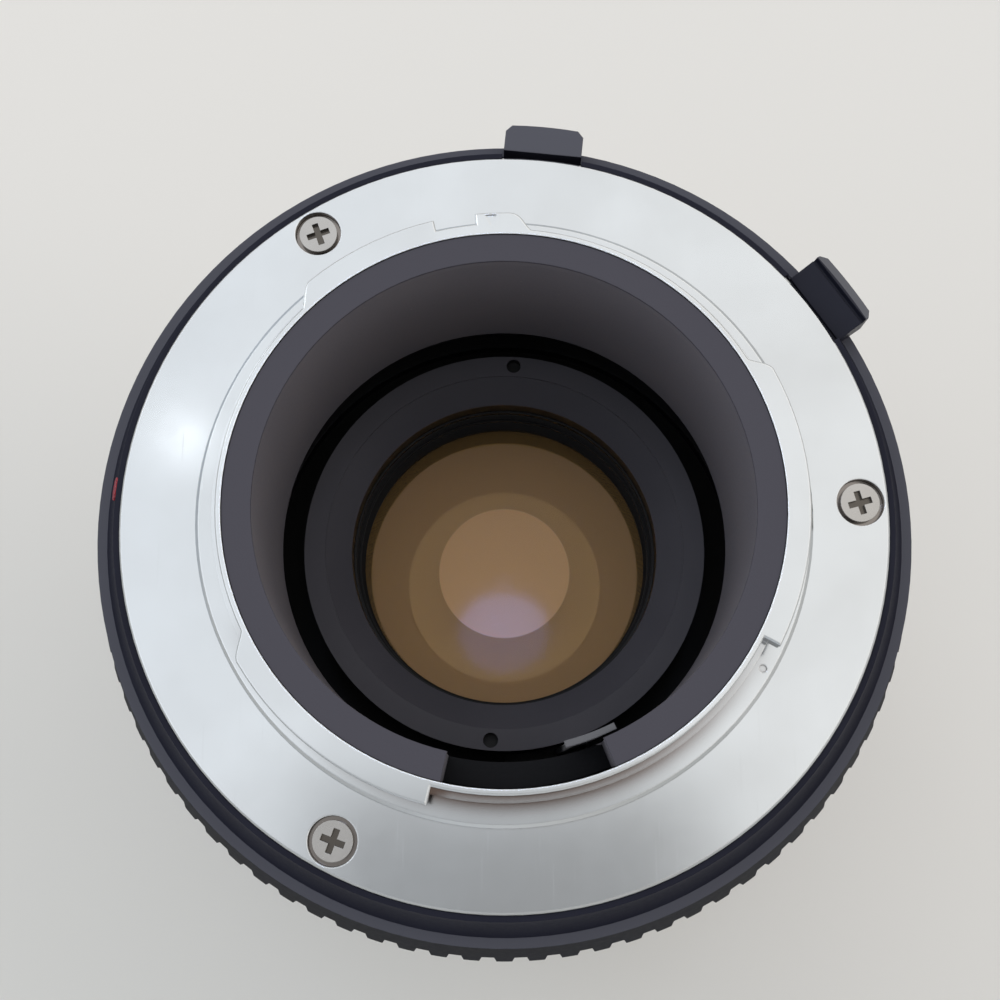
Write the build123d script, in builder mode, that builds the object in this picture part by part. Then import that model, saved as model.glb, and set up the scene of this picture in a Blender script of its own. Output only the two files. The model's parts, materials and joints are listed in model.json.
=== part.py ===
"""Manual-focus telephoto zoom lens, standing on its front rim.

The origin is the centre of the front rim and +Z runs along the optical axis towards the
camera mount. Angles are measured about +Z from +X, in degrees. Lengths are in millimetres.
"""
from build123d import *
from math import asin, atan2, cos, degrees, radians, sin
import os

os.makedirs("parts", exist_ok=True)

# Clearances
RUN = 0.05  # radial clearance of a running fit
SEAT = 0.05  # clearance round a piece that is seated and screwed down
AIR = 0.3  # air left between neighbours that move past each other

# Camera mount
FLANGE_Z = 118.0  # mount flange face above the front rim
FLANGE_R = 30.5
FLANGE_T = 2.2
FLANGE_BEVEL = 0.2
SPIGOT_R = 24.2
SPIGOT_H = 1.3
SPIGOT_BEVEL = 0.3
BAYONET_H = 5.5  # height of the bayonet tube above the flange face
BAYONET_BORE_R = 21.3
BAYONET_R = 22.3
BAYONET_RIM_R = 21.75
LUG_R = 23.1
LUG_T = 1.5
LUG_NOTCH = (95.7, 103.8)  # the notch that the camera's lock drops into
LUG_EDGE = 0.12  # bevel round the top of the lugs and the bayonet tube
LUG_MARK_ANGLE = 92.5  # small V cut in the first lug
LUG_MARK_W = 0.9
LUG_MARK_DEPTH = 0.15
PUNCH_ANGLE = 328.0  # small round punch mark on the spigot face
PUNCH_R = 0.3
PUNCH_DEPTH = 0.15
LUGS = (  # start, end, length of the ramp before it, length of the ramp after it
    (89.0, 131.0, 6.5, 6.5),
    (212.0, 256.0, 6.5, 0.0),
    (331.5, 386.0, 0.0, 6.0),
)
MOUNT_SCREW_ANGLES = (1.8, 123.0, 242.8)
MOUNT_SCREW_PITCH_R = 28.25
MOUNT_SCREW_TURNS = (15.0, 20.0, -20.0)  # how each cross recess happens to lie
SCREW_R = 0.95
SCREW_HEAD_R = 1.55
SCREW_HEAD_H = 0.55
COUNTERBORE_R = 1.9
COUNTERBORE_DEPTH = 0.65
CROSS_L = 1.9
CROSS_W = 0.5
CROSS_DEPTH = 0.35

# Light baffle inside the bayonet
BAFFLE_LIP_R = 19.04
BAFFLE_MOUTH_R = 19.66
BAFFLE_BOTTOM_Z = 104.6
BAFFLE_FOOT_R = 24.1
BAFFLE_FOOT_T = 1.1
BAFFLE_LIP_H = 0.9
BAFFLE_WALL = 1.1
BAFFLE_NOTCH = (257.5, 292.3)
BAFFLE_NOTCH_Z = 118.6

# Rear housing, which carries the flange, the aperture ring and the two push buttons
HOUSING_RIM_Z = 117.65
HOUSING_RIM_R = 31.0
HOUSING_WALL_T = 4.4  # thickness of the end wall below the flange
SHOULDER_Z = 114.1
SHOULDER_INNER_R = 32.5
SHOULDER_R = 33.3
SHOULDER_T = 0.8
NECK_HOLLOW = 0.25  # how far the neck dips below a straight cone
HOUSING_WALL = 1.6
HOUSING_ROOM = 3.1  # from the guide barrel's cup out to the housing's bore
LEDGE_W = 2.9
LEDGE_Z = 102.5
LEDGE_T = 2.5
SKIRT_Z = 92.0
SKIRT_GRUB_Z = 4.0  # height of the grub screws above the skirt's edge
INDEX_PROUD = 0.1
INDEX_T = 0.6
INDEX_ANGLE = 175.5
INDEX_R = 0.95

# Aperture ring with its inner stop ring
APERTURE_RING_Z = (100.65, 112.9)
APERTURE_WALL = 4.0  # from the ring's bore to the crests of its teeth
APERTURE_TOP_WALL = 2.35
APERTURE_CREST_Z = 107.4  # where the cone of the ring meets its toothed band
TOOTH_COUNT = 82
TOOTH_DEPTH = 0.5
TOOTH_GAP_OUTER = 1.5
TOOTH_GAP_INNER = 1.0
TOOTH_FOOT_Z = 102.2
APERTURE_TURN = 50.0
STOP_RING_W = 4.7
STOP_RING_T = 2.0
STOP_RELIEF_R = 2.4
STOP_RELIEF_ANGLES = (150.0, 330.0)
APERTURE_KEY_R = 0.65
APERTURE_KEY_ANGLE = 20.0
APERTURE_KEY_SHARE = 0.3  # how far the key reaches into the aperture ring's wall
CLICK_ANGLE = 225.0
CLICK_COUNT = 11
CLICK_NOSE_R = 0.45
CLICK_LEAF_Z = (108.2, 110.8)
CLICK_LEAF_T = 0.25
CLICK_LEAF_HALF_ANGLE = 9.0
CLICK_NOSE_SINK = 0.15
CLICK_NOSE_MARGIN = 0.4

# Push buttons: lens release near the top, depth-of-field preview beside it
BUTTON_W = 6.6
BUTTON_TRAVEL = 0.8
SLIDER_Z = (114.2, 115.55)
SLIDER_TAIL_R = 28.6
BUTTON_LUG_T = 0.8
BUTTON_LUG_H = 1.7
BUTTON_LUG_W = 2.6
BUTTON_POCKET_R = 24.9
BUTTON_POCKET_H = 10.0  # the pocket is open upwards
BUTTON_CORNER = 0.5
RELEASE_ANGLE = 84.0
RELEASE_REACH = 2.45  # how far the finger piece stands out from its inner face
RELEASE_RISE = 1.55
DOF_ANGLE = 34.5
DOF_REACH = 3.45
DOF_LIP_RISE = 1.45
DOF_LIP_W = 1.0
BUTTON_SPRING_R = 0.85
BUTTON_SPRING_WIRE_R = 0.14
BUTTON_SPRING_TURNS = 4

# Guide barrel and what stands on it
GUIDE_Z = (22.0, 100.4)
GUIDE_BORE_R = 21.55
GUIDE_WALL = 1.85
GUIDE_CUP_BORE_R = 24.8  # the wider end behind, which holds the iris housing
GUIDE_CUP_WALL = 1.5
GUIDE_FLANGE_T = 2.05
GUIDE_LIP_R = 18.0
GUIDE_LIP_T = 1.9
HOUSING_SCREW_INSET = 1.5
HOUSING_SCREW_HEAD_R = 1.35
HOUSING_SCREW_HEAD_H = 1.4
SCALE_SLEEVE_Z = (84.2, 100.25)
SCALE_SLEEVE_WALL = 2.55
SCALE_SLEEVE_FRONT_STEP = 0.6
GRUB_R = 0.8
GRUB_SLOT_DEPTH = 0.5
SLEEVE_GRUB_ANGLES = (60.0, 180.0, 300.0)
IRIS_GRUB_ANGLES = (50.0, 170.0, 290.0)
TRIM_EDGE = 0.3

# Zoom cam and the two lens carriages that it drives
ZOOM_TURN = 70.0
CAM_Z = (24.1, 72.2)
CAM_WALL = 1.5
PIN_R = 1.5
PIN_CLEARANCE = 0.05
PIN_ROOT = 1.5  # how deep a pin sits in its carriage
VARIATOR_Z = (26.0, 38.0)
VARIATOR_TRAVEL = 14.0
VARIATOR_PIN_Z = 32.0
VARIATOR_ANGLE = 90.0
COMPENSATOR_Z = (60.0, 71.0)
COMPENSATOR_TRAVEL = -6.0
COMPENSATOR_PIN_Z = 66.0
COMPENSATOR_ANGLE = 30.0
CARRIAGE_WALL = 4.3
CELL_SEAT_W = 1.2
CELL_SEAT_T = 1.6
BALANCE_HOLE_R = 1.0
RETAINER_WALL = 1.3
SPANNER_SLOT_W = 1.2
SPANNER_SLOT_DEPTH = 0.7

# Zoom ring
ZOOM_RING_Z = (52.3, 83.9)
ZOOM_RING_R = 31.6
ZOOM_COLLAR_R = 32.8
ZOOM_GRIP_Z = (55.5, 81.0)
GRIP_R = 33.5
ZOOM_TAIL_Z = 90.0
ZOOM_TAIL_R = 31.4
ZOOM_SHELL_BORE_R = 29.6
ZOOM_WEB_Z = 68.5
ZOOM_WEB_T = 4.0
ZOOM_KEY_R = 1.2
ZOOM_KEY_ANGLES = (0.0, 180.0)
ZOOM_RETAINER_T = 1.6
ZOOM_RETAINER_R = 26.6
GRIP_GROOVES = 54
GRIP_GROOVE_W = 1.3
GRIP_GROOVE_DEPTH = 0.9
GRIP_END_BAND = 1.6

# Focus ring on the front sleeve
FOCUS_TURN = 200.0
FOCUS_TRAVEL = 7.5
SLEEVE_TUBE_Z = 23.0
SLEEVE_TUBE_BORE_R = 24.6
SLEEVE_TUBE_R = 26.0
SLEEVE_JOURNAL_R = 29.0
SLEEVE_JOURNAL_Z = 44.2
SLEEVE_TRIM_Z = (50.1, 51.9)
SLEEVE_TRIM_R = 32.4
FOCUS_RING_Z = (14.0, 49.7)
FOCUS_RING_R = 31.6
FOCUS_NOSE_R = 32.2
FOCUS_GRIP_Z = (19.0, 43.0)
FOCUS_RETAINER_T = 1.15
FOCUS_RETAINER_R = 29.9
FOCUS_KEY_W = 3.0
FOCUS_KEY_H = 1.0
FOCUS_KEY_Z = (26.0, 30.0)
FOCUS_KEY_ANGLE = 30.0

# Front barrel and front lens group
FILTER_R = 27.5
FILTER_DEPTH = 6.0
FILTER_LEAD_IN = 0.7
FRONT_RIM_R = 30.4
FRONT_RIM_Z = 11.0
FRONT_TUBE_R = 28.0
FRONT_TUBE_END_Z = 38.0
FRONT_WEB_Z = (18.0, 21.5)
FRONT_CELL_R = 23.9
FRONT_SEAT_R = 22.3
FRONT_MASK_R = 25.2
FRONT_MASK_Z = 8.0
FRONT_GLASS_R = 23.8
FRONT_GLASS_Z = 10.3

# Iris: wide blades, each at a height of its own, so that they still cover the opening when shut
IRIS_Z = 80.0  # front face of the iris base plate
IRIS_PLATE_T = 2.3
IRIS_WALL = 0.85
IRIS_STEP = 0.3  # ledge that the actuator ring turns on
IRIS_HOUSING_TOP_Z = 92.0
IRIS_OPENING_R = 13.5
BLADE_COUNT = 6
BLADE_T = 0.12
BLADE_PITCH_Z = 0.28
BLADE_FIRST_Z = 82.45
BLADE_INNER_R = 13.4
BLADE_OUTER_R = 21.85
BLADE_SPAN = 80.0
BLADE_PIVOT_R = 22.4
BLADE_PIVOT_ANGLE = 20.0
BLADE_DRIVE_ARM = 1.8
BLADE_DRIVE_ANGLE = -77.0
BLADE_SWING = 28.6
BLADE_TAB_R = 0.8
STUD_R = 0.4
STUD_TAB_R = 0.55
STUD_DEPTH = 1.3
LEVER_SWING = 14.4
ACTUATOR_Z = 84.3
ACTUATOR_T = 0.9
ACTUATOR_BORE_R = 16.9
LEVER_R = (18.35, 18.85)
LEVER_ARM = (286.0, 293.0)
LEVER_TIP = (284.0, 296.0)
LEVER_TIP_Z = (120.9, 122.3)
LEVER_SLOT_MARGIN = 1.5  # degrees of air at each end of the lever's slot
LEVER_SPRING_ANGLES = (103.0, 137.0)
LEVER_SPRING_PITCH_R = 18.4
LEVER_SPRING_R = 0.6
LEVER_SPRING_WIRE_R = 0.13
LEVER_SPRING_TURNS = 9
LEVER_SPRING_Z = 87.0
POST_R = 0.45
POST_TIP = 0.9  # how far a post reaches past the spring

# Relay group in front of the iris and rear cell behind it
RELAY_TUBE_Z = 73.0
RELAY_GLASS_R = 15.0
RELAY_GLASS_T = 3.6
RELAY_TUBE_WALL = 1.8
RELAY_STOP_R = 10.7  # opening of the relay's retaining ring
RELAY_RING_SINK = 0.4
RELAY_SEAT_T = 1.0
REAR_DISC_R = 18.1
REAR_DISC_Z = 102.5
REAR_DISC_T = 1.5
REAR_DISC_TAPER = 1.2
REAR_DISH_R = 16.2
REAR_DISH_EDGE = 0.15
REAR_BORE_STEPS = ((14.0, 100.5), (13.8, 98.4), (13.6, 96.2))  # radius, upper end of each step
REAR_CAVITY_R = 15.0
REAR_BODY_R = 16.6
REAR_SPIGOT_R = 16.4
REAR_SPIGOT_Z = 84.3
REAR_FLANGE_Z = (88.5, 90.5)
REAR_SEAT_Z = 92.4
REAR_GLASS_T = 4.0
REAR_RING_T = 1.6
REAR_RING_R = 13.4
SPACER_WALL = 0.85
SPANNER_HOLE_R = 0.65
SPANNER_HOLE_DEPTH = 1.0
SPANNER_HOLES = (87.0, 266.0)
SPANNER_HOLE_PITCH_R = 17.2

# Values that follow from the sizes above
WALL_Z = FLANGE_Z - FLANGE_T
CAVITY_Z = WALL_Z - HOUSING_WALL_T
BAYONET_Z = FLANGE_Z + BAYONET_H
GUIDE_R = GUIDE_BORE_R + GUIDE_WALL
GUIDE_CUP_R = GUIDE_CUP_BORE_R + GUIDE_CUP_WALL
GUIDE_CUP_Z = IRIS_Z - SEAT
CAVITY_R = GUIDE_CUP_R + HOUSING_ROOM
JOURNAL_R = CAVITY_R + HOUSING_WALL
LEDGE_R = CAVITY_R - LEDGE_W
GUIDE_FLANGE_R = CAVITY_R - SEAT
HOUSING_SCREW_PITCH_R = CAVITY_R - HOUSING_SCREW_INSET
STOP_RING_OUTER_R = CAVITY_R - 2 * RUN
STOP_RING_R = STOP_RING_OUTER_R - STOP_RING_W
APERTURE_BORE_R = JOURNAL_R + RUN
APERTURE_RING_R = APERTURE_BORE_R + APERTURE_WALL
APERTURE_TOP_R = APERTURE_BORE_R + APERTURE_TOP_WALL
SCALE_SLEEVE_R = JOURNAL_R + SEAT + SCALE_SLEEVE_WALL
SCALE_SLEEVE_FRONT_R = SCALE_SLEEVE_R - SCALE_SLEEVE_FRONT_STEP
BUTTON_FACE_R = FLANGE_R + BUTTON_TRAVEL + 3 * RUN
RELEASE_R = BUTTON_FACE_R + RELEASE_REACH
DOF_R = BUTTON_FACE_R + DOF_REACH
CAM_R = GUIDE_BORE_R - RUN
CAM_BORE_R = CAM_R - CAM_WALL
CARRIAGE_R = CAM_BORE_R - 2 * RUN
PIN_ROOT_R = CARRIAGE_R - PIN_ROOT
PIN_END_R = GUIDE_R - 2 * AIR
CELL_BORE_R = CARRIAGE_R - CARRIAGE_WALL
CELL_SEAT_R = CELL_BORE_R - CELL_SEAT_W
IRIS_HOUSING_R = GUIDE_CUP_BORE_R - SEAT
IRIS_WALL_BORE_R = IRIS_HOUSING_R - IRIS_WALL
IRIS_BLADE_BORE_R = IRIS_WALL_BORE_R - IRIS_STEP
IRIS_BASE_Z = IRIS_Z + IRIS_PLATE_T
IRIS_GRUB_Z = IRIS_Z + IRIS_PLATE_T / 2
ACTUATOR_TOP_Z = ACTUATOR_Z + ACTUATOR_T
REAR_FLANGE_R = IRIS_WALL_BORE_R - SEAT
SKIRT_SCREW_Z = SKIRT_Z + SKIRT_GRUB_Z
ZOOM_KEY_Z = ZOOM_WEB_Z + ZOOM_WEB_T / 2
FRONT_GRUB_Z = SLEEVE_TRIM_Z[0] - 1.5
FRONT_CLEAR_R = min(FRONT_CELL_R - RETAINER_WALL, FRONT_SEAT_R) - SEAT
CELL_CLEAR_R = min(CELL_BORE_R - RETAINER_WALL, CELL_SEAT_R) - SEAT
THIRDS = (0.0, 120.0, 240.0)


def polar(radius, angle):
    """Return the point at this radius and angle in the XY plane."""
    return (radius * cos(radians(angle)), radius * sin(radians(angle)))


def save(piece, name):
    """Label a finished piece and write it as one STEP file."""
    piece.part.label = name
    export_step(piece.part, f"parts/{name}.step")


def sector(inner, outer, start, end, low, high):
    """Return a block between two radii, two angles and two heights, to add or cut."""
    with BuildPart() as block:
        with BuildSketch(Plane.XZ):
            with Locations(((inner + outer) / 2, (low + high) / 2)):
                Rectangle(outer - inner, high - low)
        revolve(axis=Axis.Z, revolution_arc=end - start)
    return Rot(0, 0, start) * block.part


def radial(angle, radius, height):
    """Return the plane whose normal points outwards at this angle, with +Z up in it."""
    x, y = polar(radius, angle)
    return Plane((x, y, height), x_dir=(-sin(radians(angle)), cos(radians(angle)), 0),
                 z_dir=(cos(radians(angle)), sin(radians(angle)), 0))


def rod(angle, height, inner, outer, radius):
    """Return a round rod that lies along a radius of the lens."""
    with BuildPart() as bar:
        with BuildSketch(radial(angle, inner, height)):
            Circle(radius)
        extrude(amount=outer - inner)
    return bar.part


def cam_slot(start, low, turn, rise, mid_r, depth, width):
    """Return the cutters of a helical slot: its run and the two round ends, where a pin stops."""
    with BuildPart() as run:
        with BuildLine():
            path = Helix(pitch=rise * 360 / turn, height=rise, radius=mid_r)
        with BuildSketch(Plane(path @ 0, x_dir=(1, 0, 0), z_dir=path % 0)):
            Rectangle(depth, width)
        sweep(is_frenet=True)
    ends = [rod(angle, height, mid_r - depth / 2, mid_r + depth / 2, width / 2)
            for angle, height in ((0.0, 0.0), (turn, rise))]
    return [Pos(0, 0, low) * Rot(0, 0, start) * cutter for cutter in (run.part, *ends)]


def coil(radius, wire_r, length, turns):
    """Return a coil spring that stands on the XY plane, with its axis along +Z."""
    with BuildPart() as wound:
        with BuildLine():
            path = Helix(pitch=(length - 2 * wire_r) / turns, height=length - 2 * wire_r,
                         radius=radius)
        with BuildSketch(Plane(path @ 0, z_dir=path % 0)):
            Circle(wire_r)
        sweep(is_frenet=True)
    return Pos(0, 0, wire_r) * wound.part


def lens(radius, low, high, low_sag, high_sag, low_rim_r, high_rim_r):
    """Return a lens element: its edge runs from low to high, each sag bulges outwards, and
    each surface ends at its rim radius, where the flat that its seat or ring bears on starts."""
    with BuildPart() as glass:
        with BuildSketch(Plane.XZ):
            with BuildLine():
                Line((0, low - low_sag), (0, high + high_sag))
                dome(high_rim_r, high, high_sag)
                Polyline((high_rim_r, high), (radius, high), (radius, low), (low_rim_r, low))
                dome(low_rim_r, low, -low_sag)
            make_face()
        revolve(axis=Axis.Z)
    return glass.part


def dome(rim_r, height, sag):
    """Return the arc from the axis to the rim of a lens surface that rises by sag."""
    curvature_r = (rim_r ** 2 + sag ** 2) / (2 * abs(sag))
    side = 1 if sag > 0 else -1
    mid_r = rim_r / 2
    drop = curvature_r - (curvature_r ** 2 - mid_r ** 2) ** 0.5
    mid = (mid_r, height + side * (abs(sag) - drop))
    return ThreePointArc((0, height + sag), mid, (rim_r, height))


def drive_stud(swing):
    """Return the radius and angle of the first blade's drive stud, at this blade swing."""
    arm_angle = BLADE_DRIVE_ANGLE - swing
    x = BLADE_PIVOT_R + BLADE_DRIVE_ARM * cos(radians(arm_angle))
    y = BLADE_DRIVE_ARM * sin(radians(arm_angle))
    return (x * x + y * y) ** 0.5, degrees(atan2(y, x))


# Camera mount: flange, spigot, bayonet tube and three lugs turned and milled from one piece
with BuildPart() as mount_flange:
    with BuildSketch(Plane.XZ):
        with BuildLine():
            Polyline(
                (BAYONET_BORE_R, WALL_Z),
                (FLANGE_R, WALL_Z),
                (FLANGE_R, FLANGE_Z - FLANGE_BEVEL),
                (FLANGE_R - FLANGE_BEVEL, FLANGE_Z),
                (SPIGOT_R, FLANGE_Z),
                (SPIGOT_R, FLANGE_Z + SPIGOT_H - SPIGOT_BEVEL),
                (SPIGOT_R - SPIGOT_BEVEL, FLANGE_Z + SPIGOT_H),
                (BAYONET_R, FLANGE_Z + SPIGOT_H),
                (BAYONET_R, BAYONET_Z - LUG_T),
                (BAYONET_RIM_R, BAYONET_Z - LUG_T),
                (BAYONET_RIM_R, BAYONET_Z),
                (BAYONET_BORE_R, BAYONET_Z),
                close=True,
            )
        make_face()
    revolve(axis=Axis.Z)
    root_r = (BAYONET_BORE_R + BAYONET_RIM_R) / 2
    for start, end, ramp_in, ramp_out in LUGS:
        with BuildSketch(Plane.XY.offset(BAYONET_Z - LUG_T)):
            with BuildLine():
                crest = CenterArc((0, 0), LUG_R, start, end - start)
                root = CenterArc((0, 0), root_r, start - ramp_in, end - start + ramp_in + ramp_out)
                if ramp_in:
                    Spline(root @ 0, crest @ 0, tangents=(root % 0, crest % 0))
                else:
                    Line(root @ 0, crest @ 0)
                if ramp_out:
                    Spline(crest @ 1, root @ 1, tangents=(crest % 1, root % 1))
                else:
                    Line(crest @ 1, root @ 1)
            make_face()
        extrude(amount=LUG_T)
    add(sector(BAYONET_R - 0.1, LUG_R + 1, *LUG_NOTCH, BAYONET_Z - LUG_T, BAYONET_Z + 1),
        mode=Mode.SUBTRACT)
    top_face = mount_flange.faces().filter_by(Axis.Z).sort_by(Axis.Z)[-1]
    chamfer(top_face.outer_wire().edges(), LUG_EDGE)
    mark_out = polar(1, LUG_MARK_ANGLE)
    with BuildSketch(Plane((*polar(LUG_R - 0.2, LUG_MARK_ANGLE), BAYONET_Z),
                           x_dir=(*mark_out, 0))):
        Polygon((0, -LUG_MARK_W / 2), (0, LUG_MARK_W / 2), (-LUG_MARK_W, 0), align=None)
    extrude(amount=-LUG_MARK_DEPTH, mode=Mode.SUBTRACT)
    with BuildSketch(Plane.XY.offset(FLANGE_Z + SPIGOT_H)):
        with Locations(polar((BAYONET_R + SPIGOT_R) / 2, PUNCH_ANGLE)):
            Circle(PUNCH_R)
    extrude(amount=-PUNCH_DEPTH, mode=Mode.SUBTRACT)
    with Locations([(*polar(MOUNT_SCREW_PITCH_R, a), FLANGE_Z) for a in MOUNT_SCREW_ANGLES]):
        CounterBoreHole(SCREW_R + SEAT, COUNTERBORE_R, COUNTERBORE_DEPTH)
save(mount_flange, "mount_flange")

# Three cross-head screws that hold the flange to the rear housing
with BuildPart() as mount_screws:
    head_z = FLANGE_Z - COUNTERBORE_DEPTH
    for angle, turn in zip(MOUNT_SCREW_ANGLES, MOUNT_SCREW_TURNS):
        x, y = polar(MOUNT_SCREW_PITCH_R, angle)
        with BuildSketch(Plane((x, y, head_z), x_dir=(cos(radians(turn)), sin(radians(turn)), 0))):
            Circle(SCREW_HEAD_R)
        extrude(amount=SCREW_HEAD_H)
        with BuildSketch(Plane((x, y, head_z))):
            Circle(SCREW_R)
        extrude(amount=-(FLANGE_T + 1.6))
        with BuildSketch(Plane((x, y, head_z + SCREW_HEAD_H),
                               x_dir=(cos(radians(turn)), sin(radians(turn)), 0))):
            Rectangle(CROSS_L, CROSS_W)
            Rectangle(CROSS_W, CROSS_L)
        extrude(amount=-CROSS_DEPTH, mode=Mode.SUBTRACT)
save(mount_screws, "mount_screws")

# Matt black baffle, clamped by its foot between the flange and the rear housing
with BuildPart() as rear_baffle:
    foot_z = WALL_Z - SEAT
    sleeve_r = BAYONET_BORE_R - SEAT
    with BuildSketch(Plane.XZ):
        with BuildLine():
            Polyline(
                (BAFFLE_MOUTH_R, BAFFLE_BOTTOM_Z),
                (BAFFLE_MOUTH_R + BAFFLE_WALL, BAFFLE_BOTTOM_Z),
                (sleeve_r - 0.2, foot_z - BAFFLE_FOOT_T),
                (BAFFLE_FOOT_R, foot_z - BAFFLE_FOOT_T),
                (BAFFLE_FOOT_R, foot_z),
                (sleeve_r, foot_z),
                (sleeve_r, BAYONET_Z - 0.1),
                (BAFFLE_LIP_R, BAYONET_Z - 0.1),
                (BAFFLE_LIP_R, BAYONET_Z - BAFFLE_LIP_H),
                (BAFFLE_LIP_R + 0.16, BAYONET_Z - BAFFLE_LIP_H - 0.1),
                close=True,
            )
        make_face()
    revolve(axis=Axis.Z)
    add(sector(BAFFLE_LIP_R - 1, BAYONET_BORE_R + 1, *BAFFLE_NOTCH, BAFFLE_NOTCH_Z, BAYONET_Z + 1),
        mode=Mode.SUBTRACT)
save(rear_baffle, "rear_baffle")

# Rear housing: one turned casting with the neck, shoulder, journal and screw ledge
with BuildPart() as rear_housing:
    baffle_seat_z = WALL_Z - BAFFLE_FOOT_T - 2 * SEAT
    with BuildSketch(Plane.XZ):
        with BuildLine():
            neck_top = (HOUSING_RIM_R, HOUSING_RIM_Z)
            neck_foot = (SHOULDER_INNER_R, SHOULDER_Z)
            neck_mid = ((HOUSING_RIM_R + SHOULDER_INNER_R) / 2 - NECK_HOLLOW,
                        (HOUSING_RIM_Z + SHOULDER_Z) / 2)
            ThreePointArc(neck_foot, neck_mid, neck_top)
            Polyline(
                neck_top,
                (FLANGE_R + SEAT, HOUSING_RIM_Z),
                (FLANGE_R + SEAT, WALL_Z),
                (BAFFLE_FOOT_R + SEAT, WALL_Z),
                (BAFFLE_FOOT_R + SEAT, baffle_seat_z),
                (BAYONET_BORE_R + AIR, baffle_seat_z),
                (BAYONET_BORE_R + AIR, CAVITY_Z),
                (CAVITY_R, CAVITY_Z),
                (CAVITY_R, LEDGE_Z + LEDGE_T),
                (LEDGE_R, LEDGE_Z + LEDGE_T),
                (LEDGE_R, LEDGE_Z),
                (CAVITY_R, LEDGE_Z),
                (CAVITY_R, SKIRT_Z),
                (JOURNAL_R, SKIRT_Z),
                (JOURNAL_R, SHOULDER_Z - SHOULDER_T),
                (SHOULDER_R, SHOULDER_Z - SHOULDER_T),
                (SHOULDER_R, SHOULDER_Z),
                neck_foot,
            )
        make_face()
    revolve(axis=Axis.Z)
    with Locations([(*polar(MOUNT_SCREW_PITCH_R, a), WALL_Z) for a in MOUNT_SCREW_ANGLES]):
        Hole(SCREW_R + SEAT, depth=HOUSING_WALL_T - 1)
    with Locations([(*polar(HOUSING_SCREW_PITCH_R, a), LEDGE_Z + LEDGE_T) for a in THIRDS]):
        Hole(SCREW_R + SEAT, depth=LEDGE_T)
    for angle in (RELEASE_ANGLE, DOF_ANGLE):
        with BuildSketch(radial(angle, BUTTON_POCKET_R, SLIDER_Z[0] - RUN)):
            Rectangle(BUTTON_W + 2 * RUN, BUTTON_POCKET_H, align=(Align.CENTER, Align.MIN))
        extrude(amount=SHOULDER_R - BUTTON_POCKET_R + 1, mode=Mode.SUBTRACT)
        pocket_depth = SLIDER_TAIL_R + BUTTON_LUG_T + RUN - BUTTON_POCKET_R
        with BuildSketch(radial(angle, BUTTON_POCKET_R, SLIDER_Z[0])):
            Rectangle(BUTTON_LUG_W + 4 * RUN, 2 * (BUTTON_LUG_H + RUN))
        extrude(amount=pocket_depth, mode=Mode.SUBTRACT)
    key_z = LEDGE_Z + LEDGE_T + 2 * RUN + STOP_RING_T / 2
    key_room = degrees(asin((APERTURE_KEY_R + AIR) / CAVITY_R))
    add(sector(CAVITY_R - 0.5, JOURNAL_R + 0.5, APERTURE_KEY_ANGLE - key_room,
               APERTURE_KEY_ANGLE + APERTURE_TURN + key_room,
               key_z - APERTURE_KEY_R - RUN, key_z + APERTURE_KEY_R + RUN), mode=Mode.SUBTRACT)
    with BuildSketch(radial(CLICK_ANGLE, CAVITY_R - 0.5, sum(CLICK_LEAF_Z) / 2)):
        Rectangle(2 * CLICK_NOSE_R + CLICK_NOSE_MARGIN,
                  CLICK_LEAF_Z[1] - CLICK_LEAF_Z[0] - CLICK_NOSE_MARGIN)
    extrude(amount=JOURNAL_R - CAVITY_R + 1, mode=Mode.SUBTRACT)
    for angle in SLEEVE_GRUB_ANGLES:
        add(rod(angle, SKIRT_SCREW_Z, CAVITY_R - 1, JOURNAL_R + 1, GRUB_R + SEAT),
            mode=Mode.SUBTRACT)
    tilt = atan2(SHOULDER_INNER_R - HOUSING_RIM_R, HOUSING_RIM_Z - SHOULDER_Z)
    x, y = polar(1, INDEX_ANGLE)
    neck_out = Vector(x * cos(tilt), y * cos(tilt), sin(tilt))
    index_seat = (Vector(x * neck_mid[0], y * neck_mid[0], neck_mid[1])
                  - neck_out * (INDEX_T - 2 * INDEX_PROUD))
    with BuildSketch(Plane(index_seat, z_dir=neck_out)):
        Circle(INDEX_R + SEAT)
    extrude(amount=INDEX_T + 1, mode=Mode.SUBTRACT)
save(rear_housing, "rear_housing")

# Coloured bead that marks how the lens goes on the camera
with BuildPart() as index_dot:
    with BuildSketch(Plane(index_seat, z_dir=neck_out)):
        Circle(INDEX_R)
    extrude(amount=INDEX_T)
save(index_dot, "index_dot")

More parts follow.
